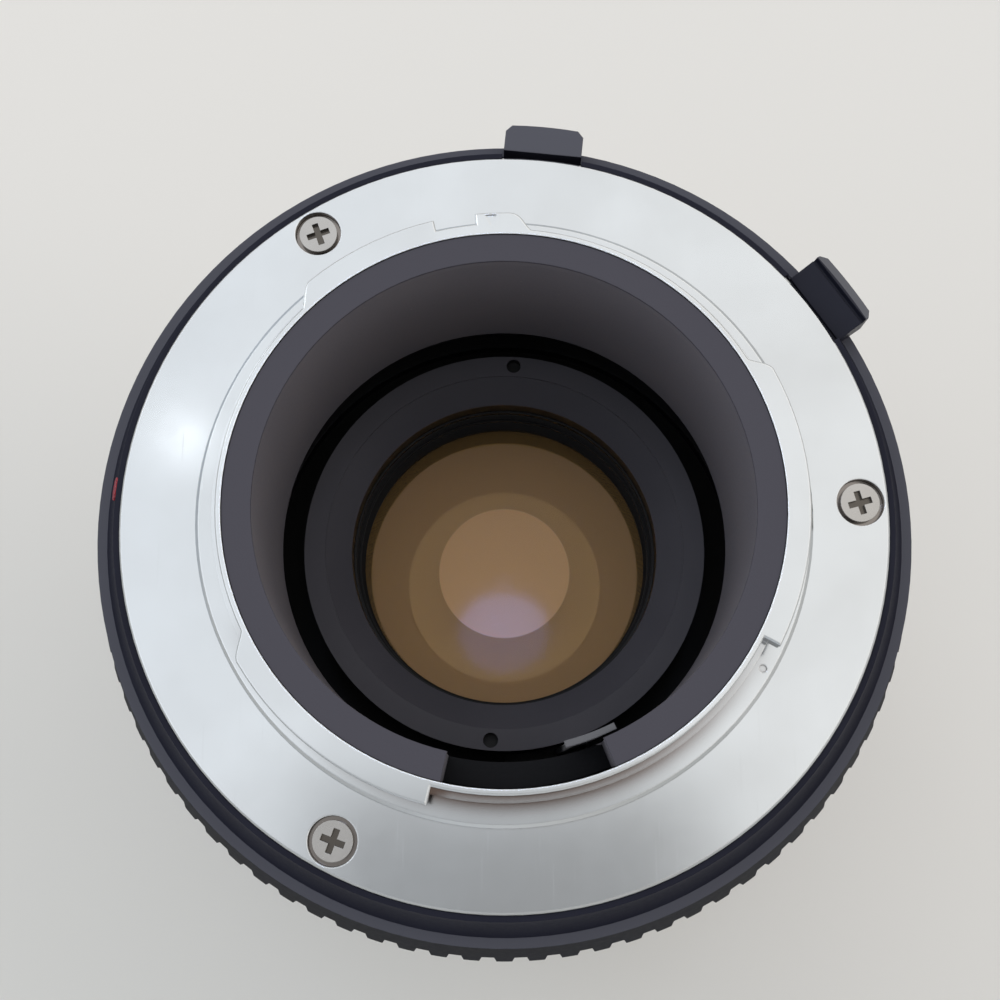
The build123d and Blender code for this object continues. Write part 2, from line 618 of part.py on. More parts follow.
# Aperture ring with the toothed grip that shows below the shoulder
with BuildPart() as aperture_ring:
    ring_low, ring_high = APERTURE_RING_Z
    with BuildSketch(Plane.XZ):
        with BuildLine():
            Polyline(
                (APERTURE_BORE_R, ring_low),
                (SCALE_SLEEVE_R + TRIM_EDGE, ring_low),
                (APERTURE_RING_R, TOOTH_FOOT_Z - TRIM_EDGE),
                (APERTURE_RING_R, APERTURE_CREST_Z),
                (APERTURE_TOP_R, ring_high),
                (APERTURE_BORE_R, ring_high),
                close=True,
            )
        make_face()
    revolve(axis=Axis.Z)
    floor_r = APERTURE_RING_R - TOOTH_DEPTH
    with BuildSketch(Plane.XY.offset(TOOTH_FOOT_Z)):
        with PolarLocations(0, TOOTH_COUNT):
            Polygon((floor_r, -TOOTH_GAP_INNER / 2), (APERTURE_RING_R + 0.1, -TOOTH_GAP_OUTER / 2),
                    (APERTURE_RING_R + 0.1, TOOTH_GAP_OUTER / 2), (floor_r, TOOTH_GAP_INNER / 2),
                    align=None)
    extrude(amount=ring_high - TOOTH_FOOT_Z, mode=Mode.SUBTRACT)
    click_step = APERTURE_TURN / (CLICK_COUNT - 1)
    nose_r = JOURNAL_R - CLICK_NOSE_SINK
    for click in range(CLICK_COUNT):
        x, y = polar(nose_r, CLICK_ANGLE - click * click_step)
        with BuildSketch(Plane((x, y, ring_low))):
            Circle(CLICK_NOSE_R + RUN)
        extrude(amount=ring_high - ring_low - 1, mode=Mode.SUBTRACT)
    key_end_r = APERTURE_BORE_R + APERTURE_KEY_SHARE * APERTURE_WALL
    add(rod(APERTURE_KEY_ANGLE, key_z, JOURNAL_R - 1, key_end_r, APERTURE_KEY_R + RUN / 2),
        mode=Mode.SUBTRACT)
save(aperture_ring, "aperture_ring")

# Stop ring that turns with the aperture ring and limits how far the iris closes
with BuildPart() as stop_ring:
    stop_z = LEDGE_Z + LEDGE_T + 2 * RUN
    with BuildSketch(Plane.XY.offset(stop_z)):
        Circle(STOP_RING_OUTER_R)
        Circle(STOP_RING_R, mode=Mode.SUBTRACT)
    extrude(amount=STOP_RING_T)
    key_root_r = STOP_RING_OUTER_R - STOP_RING_W / 2
    add(rod(APERTURE_KEY_ANGLE, key_z, key_root_r, CAVITY_R + 1, APERTURE_KEY_R + RUN / 2),
        mode=Mode.SUBTRACT)
    with BuildSketch(Plane.XY.offset(stop_z)):
        with Locations(*[polar(STOP_RING_R - STOP_RELIEF_R / 4, a) for a in STOP_RELIEF_ANGLES]):
            Circle(STOP_RELIEF_R)
    extrude(amount=STOP_RING_T, mode=Mode.SUBTRACT)
save(stop_ring, "stop_ring")

# Key pin that joins the aperture ring to the stop ring through the housing's window
with BuildPart() as aperture_key:
    add(rod(APERTURE_KEY_ANGLE, key_z, key_root_r, key_end_r, APERTURE_KEY_R))
save(aperture_key, "aperture_key")

# Click spring: a bowed leaf inside the housing with a nose that rests in the ring's notches
with BuildPart() as click_spring:
    leaf_r = CAVITY_R - CLICK_LEAF_T - RUN
    add(sector(leaf_r, leaf_r + CLICK_LEAF_T, CLICK_ANGLE - CLICK_LEAF_HALF_ANGLE,
               CLICK_ANGLE + CLICK_LEAF_HALF_ANGLE, *CLICK_LEAF_Z))
    nose_low = CLICK_LEAF_Z[0] + CLICK_NOSE_MARGIN
    nose_high = CLICK_LEAF_Z[1] - CLICK_NOSE_MARGIN
    with BuildSketch(Plane.XY.offset(nose_low)):
        with Locations(polar(nose_r, CLICK_ANGLE)):
            Circle(CLICK_NOSE_R)
        with Locations(Location((*polar((leaf_r + nose_r) / 2, CLICK_ANGLE), 0), (0, 0, CLICK_ANGLE))):
            Rectangle(nose_r - leaf_r, 2 * CLICK_NOSE_R)
    extrude(amount=nose_high - nose_low)
save(click_spring, "click_spring")


def slider(angle, reach, profile):
    """Return a push button: a finger piece of this profile, rounded to the lens, on a slider."""
    with BuildPart() as button:
        side = radial(angle, 0, 0)
        section = Plane((0, 0, 0), x_dir=side.z_dir, z_dir=-side.x_dir)
        with BuildSketch(section):
            with BuildLine():
                Polyline(*profile, close=True)
            make_face()
        extrude(amount=BUTTON_W / 2, both=True)
        with BuildSketch():
            Circle(reach)
        extrude(amount=FLANGE_Z, mode=Mode.INTERSECT)
        corners = button.edges().filter_by(Axis.Z).sort_by_distance((0, 0, SLIDER_Z[1]))[-2:]
        chamfer(corners, BUTTON_CORNER)
        with BuildSketch(radial(angle, SLIDER_TAIL_R, SLIDER_Z[0])):
            Rectangle(BUTTON_LUG_W, 2 * BUTTON_LUG_H)
        extrude(amount=BUTTON_LUG_T)
        with BuildSketch(radial(angle, SLIDER_TAIL_R, SLIDER_Z[1])):
            Rectangle(BUTTON_W + 1, BUTTON_POCKET_H, align=(Align.CENTER, Align.MIN))
        extrude(amount=BUTTON_LUG_T, mode=Mode.SUBTRACT)
    return button.part


# Lens release button, a plain block on its slider
with BuildPart() as release_button:
    slider_low, slider_high = SLIDER_Z
    release_top = slider_high + RELEASE_RISE
    add(slider(RELEASE_ANGLE, RELEASE_R, (
        (SLIDER_TAIL_R, slider_low),
        (RELEASE_R + 1, slider_low),
        (RELEASE_R + 1, release_top),
        (BUTTON_FACE_R, release_top),
        (BUTTON_FACE_R, slider_high),
        (SLIDER_TAIL_R, slider_high),
    )))
save(release_button, "release_button")

# Depth-of-field button: a flat plate with an upturned lip, which steps down to the plate
with BuildPart() as dof_button:
    lip_top = slider_high + DOF_LIP_RISE
    lip_r = DOF_R - DOF_LIP_W
    step = DOF_LIP_RISE / 3
    add(slider(DOF_ANGLE, DOF_R, (
        (SLIDER_TAIL_R, slider_low),
        (DOF_R + 1, slider_low),
        (DOF_R + 1, lip_top - step),
        (DOF_R, lip_top - step),
        (lip_r, lip_top),
        (lip_r - AIR / 3, lip_top - step),
        (lip_r - AIR, lip_top - 1.2 * step),
        (lip_r - AIR, lip_top - 0.8 * step),
        (lip_r - 2 * AIR, lip_top - step),
        (BUTTON_FACE_R, slider_high + step / 2),
        (BUTTON_FACE_R, slider_high),
        (SLIDER_TAIL_R, slider_high),
    )))
save(dof_button, "dof_button")


def button_spring(angle):
    """Return the coil spring between a button's lug and the end of its pocket."""
    length = SLIDER_TAIL_R - BUTTON_POCKET_R - 2 * RUN
    height = SLIDER_Z[0] - BUTTON_LUG_H + BUTTON_SPRING_R + BUTTON_SPRING_WIRE_R + RUN
    place = radial(angle, BUTTON_POCKET_R + RUN, height)
    return place.location * coil(BUTTON_SPRING_R, BUTTON_SPRING_WIRE_R, length, BUTTON_SPRING_TURNS)


with BuildPart() as release_spring:
    add(button_spring(RELEASE_ANGLE))
save(release_spring, "release_spring")

with BuildPart() as dof_spring:
    add(button_spring(DOF_ANGLE))
save(dof_spring, "dof_spring")

# Guide barrel: the fixed backbone, with a straight slot for each carriage pin
with BuildPart() as guide_barrel:
    guide_low, guide_high = GUIDE_Z
    with BuildSketch(Plane.XZ):
        with BuildLine():
            Polyline(
                (GUIDE_LIP_R, guide_low),
                (GUIDE_R, guide_low),
                (GUIDE_R, GUIDE_CUP_Z - (GUIDE_CUP_R - GUIDE_R)),
                (GUIDE_CUP_R, GUIDE_CUP_Z),
                (GUIDE_CUP_R, guide_high),
                (GUIDE_FLANGE_R, guide_high),
                (GUIDE_FLANGE_R, guide_high + GUIDE_FLANGE_T),
                (GUIDE_CUP_BORE_R, guide_high + GUIDE_FLANGE_T),
                (GUIDE_CUP_BORE_R, GUIDE_CUP_Z),
                (GUIDE_BORE_R, GUIDE_CUP_Z),
                (GUIDE_BORE_R, guide_low + GUIDE_LIP_T),
                (GUIDE_LIP_R, guide_low + GUIDE_LIP_T),
                close=True,
            )
        make_face()
    revolve(axis=Axis.Z)
    for angle, pin_z, travel in ((VARIATOR_ANGLE, VARIATOR_PIN_Z, VARIATOR_TRAVEL),
                                 (COMPENSATOR_ANGLE, COMPENSATOR_PIN_Z, COMPENSATOR_TRAVEL)):
        for third in THIRDS:
            mid_z = pin_z + travel / 2
            with BuildSketch(radial(angle + third, GUIDE_BORE_R - 1, mid_z)):
                SlotOverall(abs(travel) + 2 * (PIN_R + PIN_CLEARANCE) + 0.4,
                            2 * (PIN_R + PIN_CLEARANCE), rotation=90)
            extrude(amount=GUIDE_R - GUIDE_BORE_R + 2, mode=Mode.SUBTRACT)
    for angle in ZOOM_KEY_ANGLES:
        key_slot_r = ZOOM_KEY_R + AIR / 2
        add(sector(GUIDE_BORE_R - 1, GUIDE_R + 1, angle, angle + ZOOM_TURN,
                   ZOOM_KEY_Z - key_slot_r, ZOOM_KEY_Z + key_slot_r), mode=Mode.SUBTRACT)
        for end in (angle, angle + ZOOM_TURN):
            add(rod(end, ZOOM_KEY_Z, GUIDE_BORE_R - 1, GUIDE_R + 1, key_slot_r), mode=Mode.SUBTRACT)
    with Locations([(*polar(HOUSING_SCREW_PITCH_R, a), guide_high + GUIDE_FLANGE_T) for a in THIRDS]):
        Hole(SCREW_R + SEAT, depth=GUIDE_FLANGE_T)
    for angle in SLEEVE_GRUB_ANGLES:
        add(rod(angle, FRONT_GRUB_Z, GUIDE_BORE_R - 1, GUIDE_R + 1, GRUB_R + SEAT),
            mode=Mode.SUBTRACT)
    for angle in IRIS_GRUB_ANGLES:
        add(rod(angle, IRIS_GRUB_Z, GUIDE_CUP_BORE_R - 1, GUIDE_CUP_R + 1, GRUB_R + SEAT),
            mode=Mode.SUBTRACT)
save(guide_barrel, "guide_barrel")

# Three screws that hold the guide barrel's flange against the housing ledge
with BuildPart() as housing_screws:
    flange_low = GUIDE_Z[1]
    for angle in THIRDS:
        x, y = polar(HOUSING_SCREW_PITCH_R, angle)
        with BuildSketch(Plane((x, y, flange_low))):
            Circle(HOUSING_SCREW_HEAD_R)
        extrude(amount=-HOUSING_SCREW_HEAD_H)
        with BuildSketch(Plane((x, y, flange_low))):
            Circle(SCREW_R)
        extrude(amount=GUIDE_FLANGE_T + LEDGE_T - AIR)
        with BuildSketch(Plane((x, y, flange_low - HOUSING_SCREW_HEAD_H))):
            Rectangle(3 * HOUSING_SCREW_HEAD_R, CROSS_W)
        extrude(amount=CROSS_W, mode=Mode.SUBTRACT)
save(housing_screws, "housing_screws")

# Fixed sleeve between the aperture ring and the zoom ring
with BuildPart() as scale_sleeve:
    sleeve_low, sleeve_high = SCALE_SLEEVE_Z
    with BuildSketch(Plane.XZ):
        with BuildLine():
            Polyline(
                (JOURNAL_R + SEAT, SKIRT_Z),
                (ZOOM_TAIL_R + AIR, SKIRT_Z),
                (ZOOM_TAIL_R + AIR, sleeve_low),
                (SCALE_SLEEVE_FRONT_R - TRIM_EDGE, sleeve_low),
                (SCALE_SLEEVE_FRONT_R, sleeve_low + TRIM_EDGE),
                (SCALE_SLEEVE_R, SKIRT_Z),
                (SCALE_SLEEVE_R, sleeve_high - TRIM_EDGE),
                (SCALE_SLEEVE_R - TRIM_EDGE, sleeve_high),
                (JOURNAL_R + SEAT, sleeve_high),
                close=True,
            )
        make_face()
    revolve(axis=Axis.Z)
    for angle in SLEEVE_GRUB_ANGLES:
        add(rod(angle, SKIRT_SCREW_Z, JOURNAL_R - 1, SCALE_SLEEVE_R + 1, GRUB_R + SEAT),
            mode=Mode.SUBTRACT)
save(scale_sleeve, "scale_sleeve")

# Three grub screws that fix the scale sleeve to the housing skirt
with BuildPart() as sleeve_grubs:
    grub_end_r = SCALE_SLEEVE_R - AIR
    for angle in SLEEVE_GRUB_ANGLES:
        add(rod(angle, SKIRT_SCREW_Z, CAVITY_R + AIR, grub_end_r, GRUB_R))
        with BuildSketch(radial(angle, grub_end_r, SKIRT_SCREW_Z)):
            Rectangle(3 * GRUB_R, GRUB_R / 2)
        extrude(amount=-GRUB_SLOT_DEPTH, mode=Mode.SUBTRACT)
save(sleeve_grubs, "sleeve_grubs")

# Cam barrel: two sets of three helical slots drive the carriages as it turns
with BuildPart() as cam_barrel:
    cam_low, cam_high = CAM_Z
    with BuildSketch(Plane.XY.offset(cam_low)):
        Circle(CAM_R)
        Circle(CAM_BORE_R, mode=Mode.SUBTRACT)
    extrude(amount=cam_high - cam_low)
    cam_mid_r = (CAM_BORE_R + CAM_R) / 2
    slot_w = 2 * (PIN_R + PIN_CLEARANCE)
    variator_slot = mirror(cam_slot(-VARIATOR_ANGLE, VARIATOR_PIN_Z, ZOOM_TURN, VARIATOR_TRAVEL,
                                    cam_mid_r, CAM_R - CAM_BORE_R + 1, slot_w),
                           about=Plane.XZ, mode=Mode.PRIVATE)
    compensator_slot = cam_slot(COMPENSATOR_ANGLE - ZOOM_TURN,
                                COMPENSATOR_PIN_Z + COMPENSATOR_TRAVEL, ZOOM_TURN,
                                -COMPENSATOR_TRAVEL, cam_mid_r, CAM_R - CAM_BORE_R + 1, slot_w)
    for cutter in (*variator_slot.solids(), *compensator_slot):
        with PolarLocations(0, len(THIRDS)):
            add(cutter, mode=Mode.SUBTRACT)
    for angle in ZOOM_KEY_ANGLES:
        add(rod(angle, ZOOM_KEY_Z, CAM_BORE_R - 1, CAM_R + 1, ZOOM_KEY_R + RUN / 2),
            mode=Mode.SUBTRACT)
save(cam_barrel, "cam_barrel")

# Zoom ring with a tail that runs light-tight under the scale sleeve
with BuildPart() as zoom_ring:
    ring_low, ring_high = ZOOM_RING_Z
    with BuildSketch(Plane.XZ):
        with BuildLine():
            Polyline(
                (GUIDE_R + 2 * RUN, ring_low),
                (ZOOM_COLLAR_R - 0.3, ring_low),
                (ZOOM_COLLAR_R, ring_low + 0.3),
                (ZOOM_COLLAR_R, ZOOM_GRIP_Z[0]),
                (ZOOM_RING_R, ZOOM_GRIP_Z[0]),
                (ZOOM_RING_R, ZOOM_GRIP_Z[1]),
                (ZOOM_COLLAR_R, ZOOM_GRIP_Z[1]),
                (ZOOM_COLLAR_R, ring_high),
                (ZOOM_TAIL_R, ring_high),
                (ZOOM_TAIL_R, ZOOM_TAIL_Z),
                (ZOOM_SHELL_BORE_R, ZOOM_TAIL_Z),
                (ZOOM_SHELL_BORE_R, ZOOM_WEB_Z + ZOOM_WEB_T),
                (GUIDE_R + 2 * RUN, ZOOM_WEB_Z + ZOOM_WEB_T),
                (GUIDE_R + 2 * RUN, ZOOM_WEB_Z),
                (ZOOM_SHELL_BORE_R, ZOOM_WEB_Z),
                (ZOOM_SHELL_BORE_R, ring_low + ZOOM_WEB_T),
                (GUIDE_R + 2 * RUN, ring_low + ZOOM_WEB_T),
                close=True,
            )
        make_face()
    revolve(axis=Axis.Z)
    for angle in ZOOM_KEY_ANGLES:
        add(rod(angle, ZOOM_KEY_Z, GUIDE_R - 1, ZOOM_RING_R + 1, ZOOM_KEY_R + RUN / 2),
            mode=Mode.SUBTRACT)
save(zoom_ring, "zoom_ring")

# Two key screws that drive the cam barrel through the guide barrel's curved slots
with BuildPart() as zoom_keys:
    for angle in ZOOM_KEY_ANGLES:
        add(rod(angle, ZOOM_KEY_Z, CAM_BORE_R + 0.3, ZOOM_RING_R - 0.2, ZOOM_KEY_R))
        with BuildSketch(radial(angle, ZOOM_RING_R - 0.2, ZOOM_KEY_Z)):
            Rectangle(3 * ZOOM_KEY_R, CROSS_W)
        extrude(amount=-0.6, mode=Mode.SUBTRACT)
save(zoom_keys, "zoom_keys")

# Ring on the guide barrel that keeps the zoom ring from sliding back
with BuildPart() as zoom_retainer:
    with BuildSketch(Plane.XY.offset(ZOOM_WEB_Z + ZOOM_WEB_T + 2 * RUN)):
        Circle(ZOOM_RETAINER_R)
        Circle(GUIDE_R + SEAT, mode=Mode.SUBTRACT)
    extrude(amount=ZOOM_RETAINER_T)
save(zoom_retainer, "zoom_retainer")


def grip(low, high, bore_r, bands):
    """Return a ribbed rubber grip; bands are the heights of the grooves that run round it."""
    with BuildPart() as rubber:
        with BuildSketch(Plane.XY.offset(low)):
            Circle(GRIP_R)
            Circle(bore_r, mode=Mode.SUBTRACT)
        extrude(amount=high - low)
        chamfer(rubber.edges().filter_by(GeomType.CIRCLE).group_by(SortBy.RADIUS)[-1], 0.4)
        with BuildSketch(Plane.XY.offset(low + GRIP_END_BAND)):
            with PolarLocations(GRIP_R, GRIP_GROOVES):
                Rectangle(2 * GRIP_GROOVE_DEPTH, GRIP_GROOVE_W)
        extrude(amount=high - low - 2 * GRIP_END_BAND, mode=Mode.SUBTRACT)
        for band in bands:
            with BuildSketch(Plane.XY.offset(band - GRIP_GROOVE_W / 2)):
                Circle(GRIP_R + 1)
                Circle(GRIP_R - GRIP_GROOVE_DEPTH, mode=Mode.SUBTRACT)
            extrude(amount=GRIP_GROOVE_W, mode=Mode.SUBTRACT)
    return rubber.part


with BuildPart() as zoom_grip:
    grip_mid = sum(ZOOM_GRIP_Z) / 2
    add(grip(*ZOOM_GRIP_Z, ZOOM_RING_R, (grip_mid - 4, grip_mid + 4)))
save(zoom_grip, "zoom_grip")

# Front sleeve: the tube the front barrel slides on, and the journal the focus ring turns on
with BuildPart() as front_sleeve:
    trim_low, trim_high = SLEEVE_TRIM_Z
    with BuildSketch(Plane.XZ):
        with BuildLine():
            Polyline(
                (SLEEVE_TUBE_BORE_R, SLEEVE_TUBE_Z),
                (SLEEVE_TUBE_R, SLEEVE_TUBE_Z),
                (SLEEVE_TUBE_R, SLEEVE_JOURNAL_Z),
                (SLEEVE_JOURNAL_R, SLEEVE_JOURNAL_Z),
                (SLEEVE_JOURNAL_R, trim_low),
                (SLEEVE_TRIM_R, trim_low),
                (SLEEVE_TRIM_R, trim_high - 0.3),
                (SLEEVE_TRIM_R - 0.3, trim_high),
                (GUIDE_R + SEAT, trim_high),
                (GUIDE_R + SEAT, SLEEVE_JOURNAL_Z + 1.5),
                (SLEEVE_TUBE_BORE_R, SLEEVE_JOURNAL_Z + 1.5),
                close=True,
            )
        make_face()
    revolve(axis=Axis.Z)
    for angle in SLEEVE_GRUB_ANGLES:
        add(rod(angle, FRONT_GRUB_Z, GUIDE_R - 1, SLEEVE_JOURNAL_R + 1, GRUB_R + SEAT),
            mode=Mode.SUBTRACT)
    for third in THIRDS:
        key_mid_z = sum(FOCUS_KEY_Z) / 2
        with BuildSketch(radial(FOCUS_KEY_ANGLE + third, SLEEVE_TUBE_R - 0.6, key_mid_z)):
            Rectangle(FOCUS_KEY_W + SEAT, FOCUS_KEY_Z[1] - FOCUS_KEY_Z[0] + SEAT)
        extrude(amount=1, mode=Mode.SUBTRACT)
save(front_sleeve, "front_sleeve")

# Three grub screws that fix the front sleeve to the guide barrel
with BuildPart() as front_grubs:
    for angle in SLEEVE_GRUB_ANGLES:
        add(rod(angle, FRONT_GRUB_Z, GUIDE_BORE_R + AIR, SLEEVE_JOURNAL_R - AIR, GRUB_R))
save(front_grubs, "front_grubs")

# Three keys in the front sleeve that stop the front barrel from turning as it focuses
with BuildPart() as focus_keys:
    for third in THIRDS:
        with BuildSketch(radial(FOCUS_KEY_ANGLE + third, SLEEVE_TUBE_R - 0.6, sum(FOCUS_KEY_Z) / 2)):
            Rectangle(FOCUS_KEY_W, FOCUS_KEY_Z[1] - FOCUS_KEY_Z[0])
        extrude(amount=0.6 + FOCUS_KEY_H)
save(focus_keys, "focus_keys")

# Ring that keeps the focus ring on its journal
with BuildPart() as focus_retainer:
    with BuildSketch(Plane.XY.offset(SLEEVE_JOURNAL_Z - SEAT - FOCUS_RETAINER_T)):
        Circle(FOCUS_RETAINER_R)
        Circle(SLEEVE_TUBE_R + SEAT, mode=Mode.SUBTRACT)
    extrude(amount=FOCUS_RETAINER_T)
save(focus_retainer, "focus_retainer")

# Focus ring
with BuildPart() as focus_ring:
    ring_low, ring_high = FOCUS_RING_Z
    pocket_low = SLEEVE_JOURNAL_Z - SEAT - FOCUS_RETAINER_T - 3 * RUN
    pocket_high = SLEEVE_JOURNAL_Z + RUN
    with BuildSketch(Plane.XZ):
        with BuildLine():
            Polyline(
                (FRONT_TUBE_R + RUN, ring_low),
                (FOCUS_NOSE_R - 0.4, ring_low),
                (FOCUS_NOSE_R, ring_low + 0.4),
                (FOCUS_NOSE_R, FOCUS_GRIP_Z[0]),
                (FOCUS_RING_R, FOCUS_GRIP_Z[0]),
                (FOCUS_RING_R, FOCUS_GRIP_Z[1]),
                (ZOOM_COLLAR_R, FOCUS_GRIP_Z[1]),
                (ZOOM_COLLAR_R, ring_high - 0.3),
                (ZOOM_COLLAR_R - 0.3, ring_high),
                (SLEEVE_JOURNAL_R + RUN, ring_high),
                (SLEEVE_JOURNAL_R + RUN, pocket_high),
                (FOCUS_RETAINER_R + RUN, pocket_high),
                (FOCUS_RETAINER_R + RUN, pocket_low),
                (FRONT_TUBE_R + RUN, pocket_low),
                close=True,
            )
        make_face()
    revolve(axis=Axis.Z)
save(focus_ring, "focus_ring")

with BuildPart() as focus_grip:
    grip_third = (FOCUS_GRIP_Z[1] - FOCUS_GRIP_Z[0]) / 3
    add(grip(*FOCUS_GRIP_Z, FOCUS_RING_R, (FOCUS_GRIP_Z[0] + grip_third,
                                           FOCUS_GRIP_Z[1] - grip_third)))
save(focus_grip, "focus_grip")

# Front barrel: filter thread, cell of the front group and keyways in the sliding tube
with BuildPart() as front_barrel:
    web_low, web_high = FRONT_WEB_Z
    tube_bore_r = SLEEVE_TUBE_R + RUN
    with BuildSketch(Plane.XZ):
        with BuildLine():
            Polyline(
                (FILTER_R + FILTER_LEAD_IN, 0),
                (FRONT_RIM_R - 0.4, 0),
                (FRONT_RIM_R, 0.4),
                (FRONT_RIM_R, FRONT_RIM_Z - 0.4),
                (FRONT_RIM_R - 0.4, FRONT_RIM_Z),
                (FRONT_TUBE_R, FRONT_RIM_Z),
                (FRONT_TUBE_R, FRONT_TUBE_END_Z),
                (tube_bore_r, FRONT_TUBE_END_Z),
                (tube_bore_r, web_high),
                (FRONT_SEAT_R, web_high),
                (FRONT_SEAT_R, web_low),
                (FRONT_CELL_R, web_low),
                (FRONT_CELL_R, FRONT_MASK_Z),
                (FRONT_MASK_R, FILTER_DEPTH),
                (FILTER_R, FILTER_DEPTH),
                (FILTER_R, FILTER_LEAD_IN),
                close=True,
            )
        make_face()
    revolve(axis=Axis.Z)
    for third in THIRDS:
        with BuildSketch(radial(FOCUS_KEY_ANGLE + third, SLEEVE_TUBE_R - 1, web_high)):
            Rectangle(FOCUS_KEY_W + 2 * RUN, 20, align=(Align.CENTER, Align.MIN))
        extrude(amount=1 + FOCUS_KEY_H + 2 * RUN, mode=Mode.SUBTRACT)
save(front_barrel, "front_barrel")

# Cemented front group and the ring that holds it
with BuildPart() as front_element:
    add(lens(FRONT_GLASS_R, FRONT_GLASS_Z, FRONT_GLASS_Z + 3.4, 3.0, 2.2,
             FRONT_CLEAR_R, FRONT_CLEAR_R))
save(front_element, "front_element")

with BuildPart() as front_inner_element:
    add(lens(FRONT_GLASS_R, FRONT_GLASS_Z + 3.4, FRONT_WEB_Z[0], -2.2, -1.2,
             FRONT_CLEAR_R, FRONT_CLEAR_R))
save(front_inner_element, "front_inner_element")


def retaining_ring(outer_r, inner_r, low, high):
    """Return a retaining ring with two spanner slots in its face on the low side."""
    with BuildPart() as ring:
        with BuildSketch(Plane.XY.offset(low)):
            Circle(outer_r)
            Circle(inner_r, mode=Mode.SUBTRACT)
        extrude(amount=high - low)
        with BuildSketch(Plane.XY.offset(low)):
            Rectangle(3 * outer_r, SPANNER_SLOT_W)
        extrude(amount=SPANNER_SLOT_DEPTH, mode=Mode.SUBTRACT)
    return ring.part


with BuildPart() as front_retainer:
    add(retaining_ring(FRONT_CELL_R - SEAT, FRONT_CELL_R - RETAINER_WALL, FRONT_MASK_Z + 0.2,
                       FRONT_GLASS_Z))
save(front_retainer, "front_retainer")


def carriage(low, high, pin_z, pin_angle):
    """Return a lens carriage: a tube with a cell, a lens seat and three pin holes."""
    with BuildPart() as cell:
        with BuildSketch(Plane.XZ):
            with BuildLine():
                Polyline(
                    (CELL_SEAT_R, low),
                    (CARRIAGE_R, low),
                    (CARRIAGE_R, high),
                    (CELL_BORE_R, high),
                    (CELL_BORE_R, low + CELL_SEAT_T),
                    (CELL_SEAT_R, low + CELL_SEAT_T),
                    close=True,
                )
            make_face()
        revolve(axis=Axis.Z)
        with BuildSketch(Plane.XY.offset(low)):
            with PolarLocations((CARRIAGE_R + CELL_BORE_R) / 2, 2 * len(THIRDS)):
                Circle(BALANCE_HOLE_R)
        extrude(amount=2 * BALANCE_HOLE_R, mode=Mode.SUBTRACT)
        for third in THIRDS:
            add(rod(pin_angle + third, pin_z, PIN_ROOT_R, CARRIAGE_R + 1, PIN_R + SEAT / 2),
                mode=Mode.SUBTRACT)
    return cell.part


def pins(pin_z, pin_angle):
    """Return the three follower pins of a carriage."""
    with BuildPart() as set_of_pins:
        for third in THIRDS:
            add(rod(pin_angle + third, pin_z, PIN_ROOT_R + SEAT, PIN_END_R, PIN_R))
    return set_of_pins.part


# Variator carriage with its two elements, retaining ring and pins
with BuildPart() as variator_carriage:
    add(carriage(*VARIATOR_Z, VARIATOR_PIN_Z, VARIATOR_ANGLE))
save(variator_carriage, "variator_carriage")

with BuildPart() as variator_front_element:
    add(lens(CELL_BORE_R - SEAT, VARIATOR_Z[0] + 1.6, VARIATOR_Z[0] + 5.2, -1.2, -1.0,
             CELL_CLEAR_R, CELL_CLEAR_R))
save(variator_front_element, "variator_front_element")

with BuildPart() as variator_rear_element:
    add(lens(CELL_BORE_R - SEAT, VARIATOR_Z[0] + 5.2, VARIATOR_Z[0] + 8.4, 0.8, 0.5,
             CELL_CLEAR_R, CELL_CLEAR_R))
save(variator_rear_element, "variator_rear_element")

with BuildPart() as variator_retainer:
    flipped = retaining_ring(CELL_BORE_R - SEAT, CELL_BORE_R - RETAINER_WALL, 0, 1.6)
    add(Pos(0, 0, VARIATOR_Z[0] + 10.0) * Rot(180, 0, 0) * flipped)
save(variator_retainer, "variator_retainer")

with BuildPart() as variator_pins:
    add(pins(VARIATOR_PIN_Z, VARIATOR_ANGLE))
save(variator_pins, "variator_pins")

# Compensator carriage with its element, retaining ring and pins
with BuildPart() as compensator_carriage:
    add(carriage(*COMPENSATOR_Z, COMPENSATOR_PIN_Z, COMPENSATOR_ANGLE))
save(compensator_carriage, "compensator_carriage")

with BuildPart() as compensator_element:
    add(lens(CELL_BORE_R - SEAT, COMPENSATOR_Z[0] + 1.6, COMPENSATOR_Z[0] + 5.4, 1.1, 1.4,
             CELL_CLEAR_R, CELL_CLEAR_R))
save(compensator_element, "compensator_element")

with BuildPart() as compensator_retainer:
    flipped = retaining_ring(CELL_BORE_R - SEAT, CELL_BORE_R - RETAINER_WALL, 0, 1.6)
    add(Pos(0, 0, COMPENSATOR_Z[0] + 7.0) * Rot(180, 0, 0) * flipped)
save(compensator_retainer, "compensator_retainer")

with BuildPart() as compensator_pins:
    add(pins(COMPENSATOR_PIN_Z, COMPENSATOR_ANGLE))
save(compensator_pins, "compensator_pins")

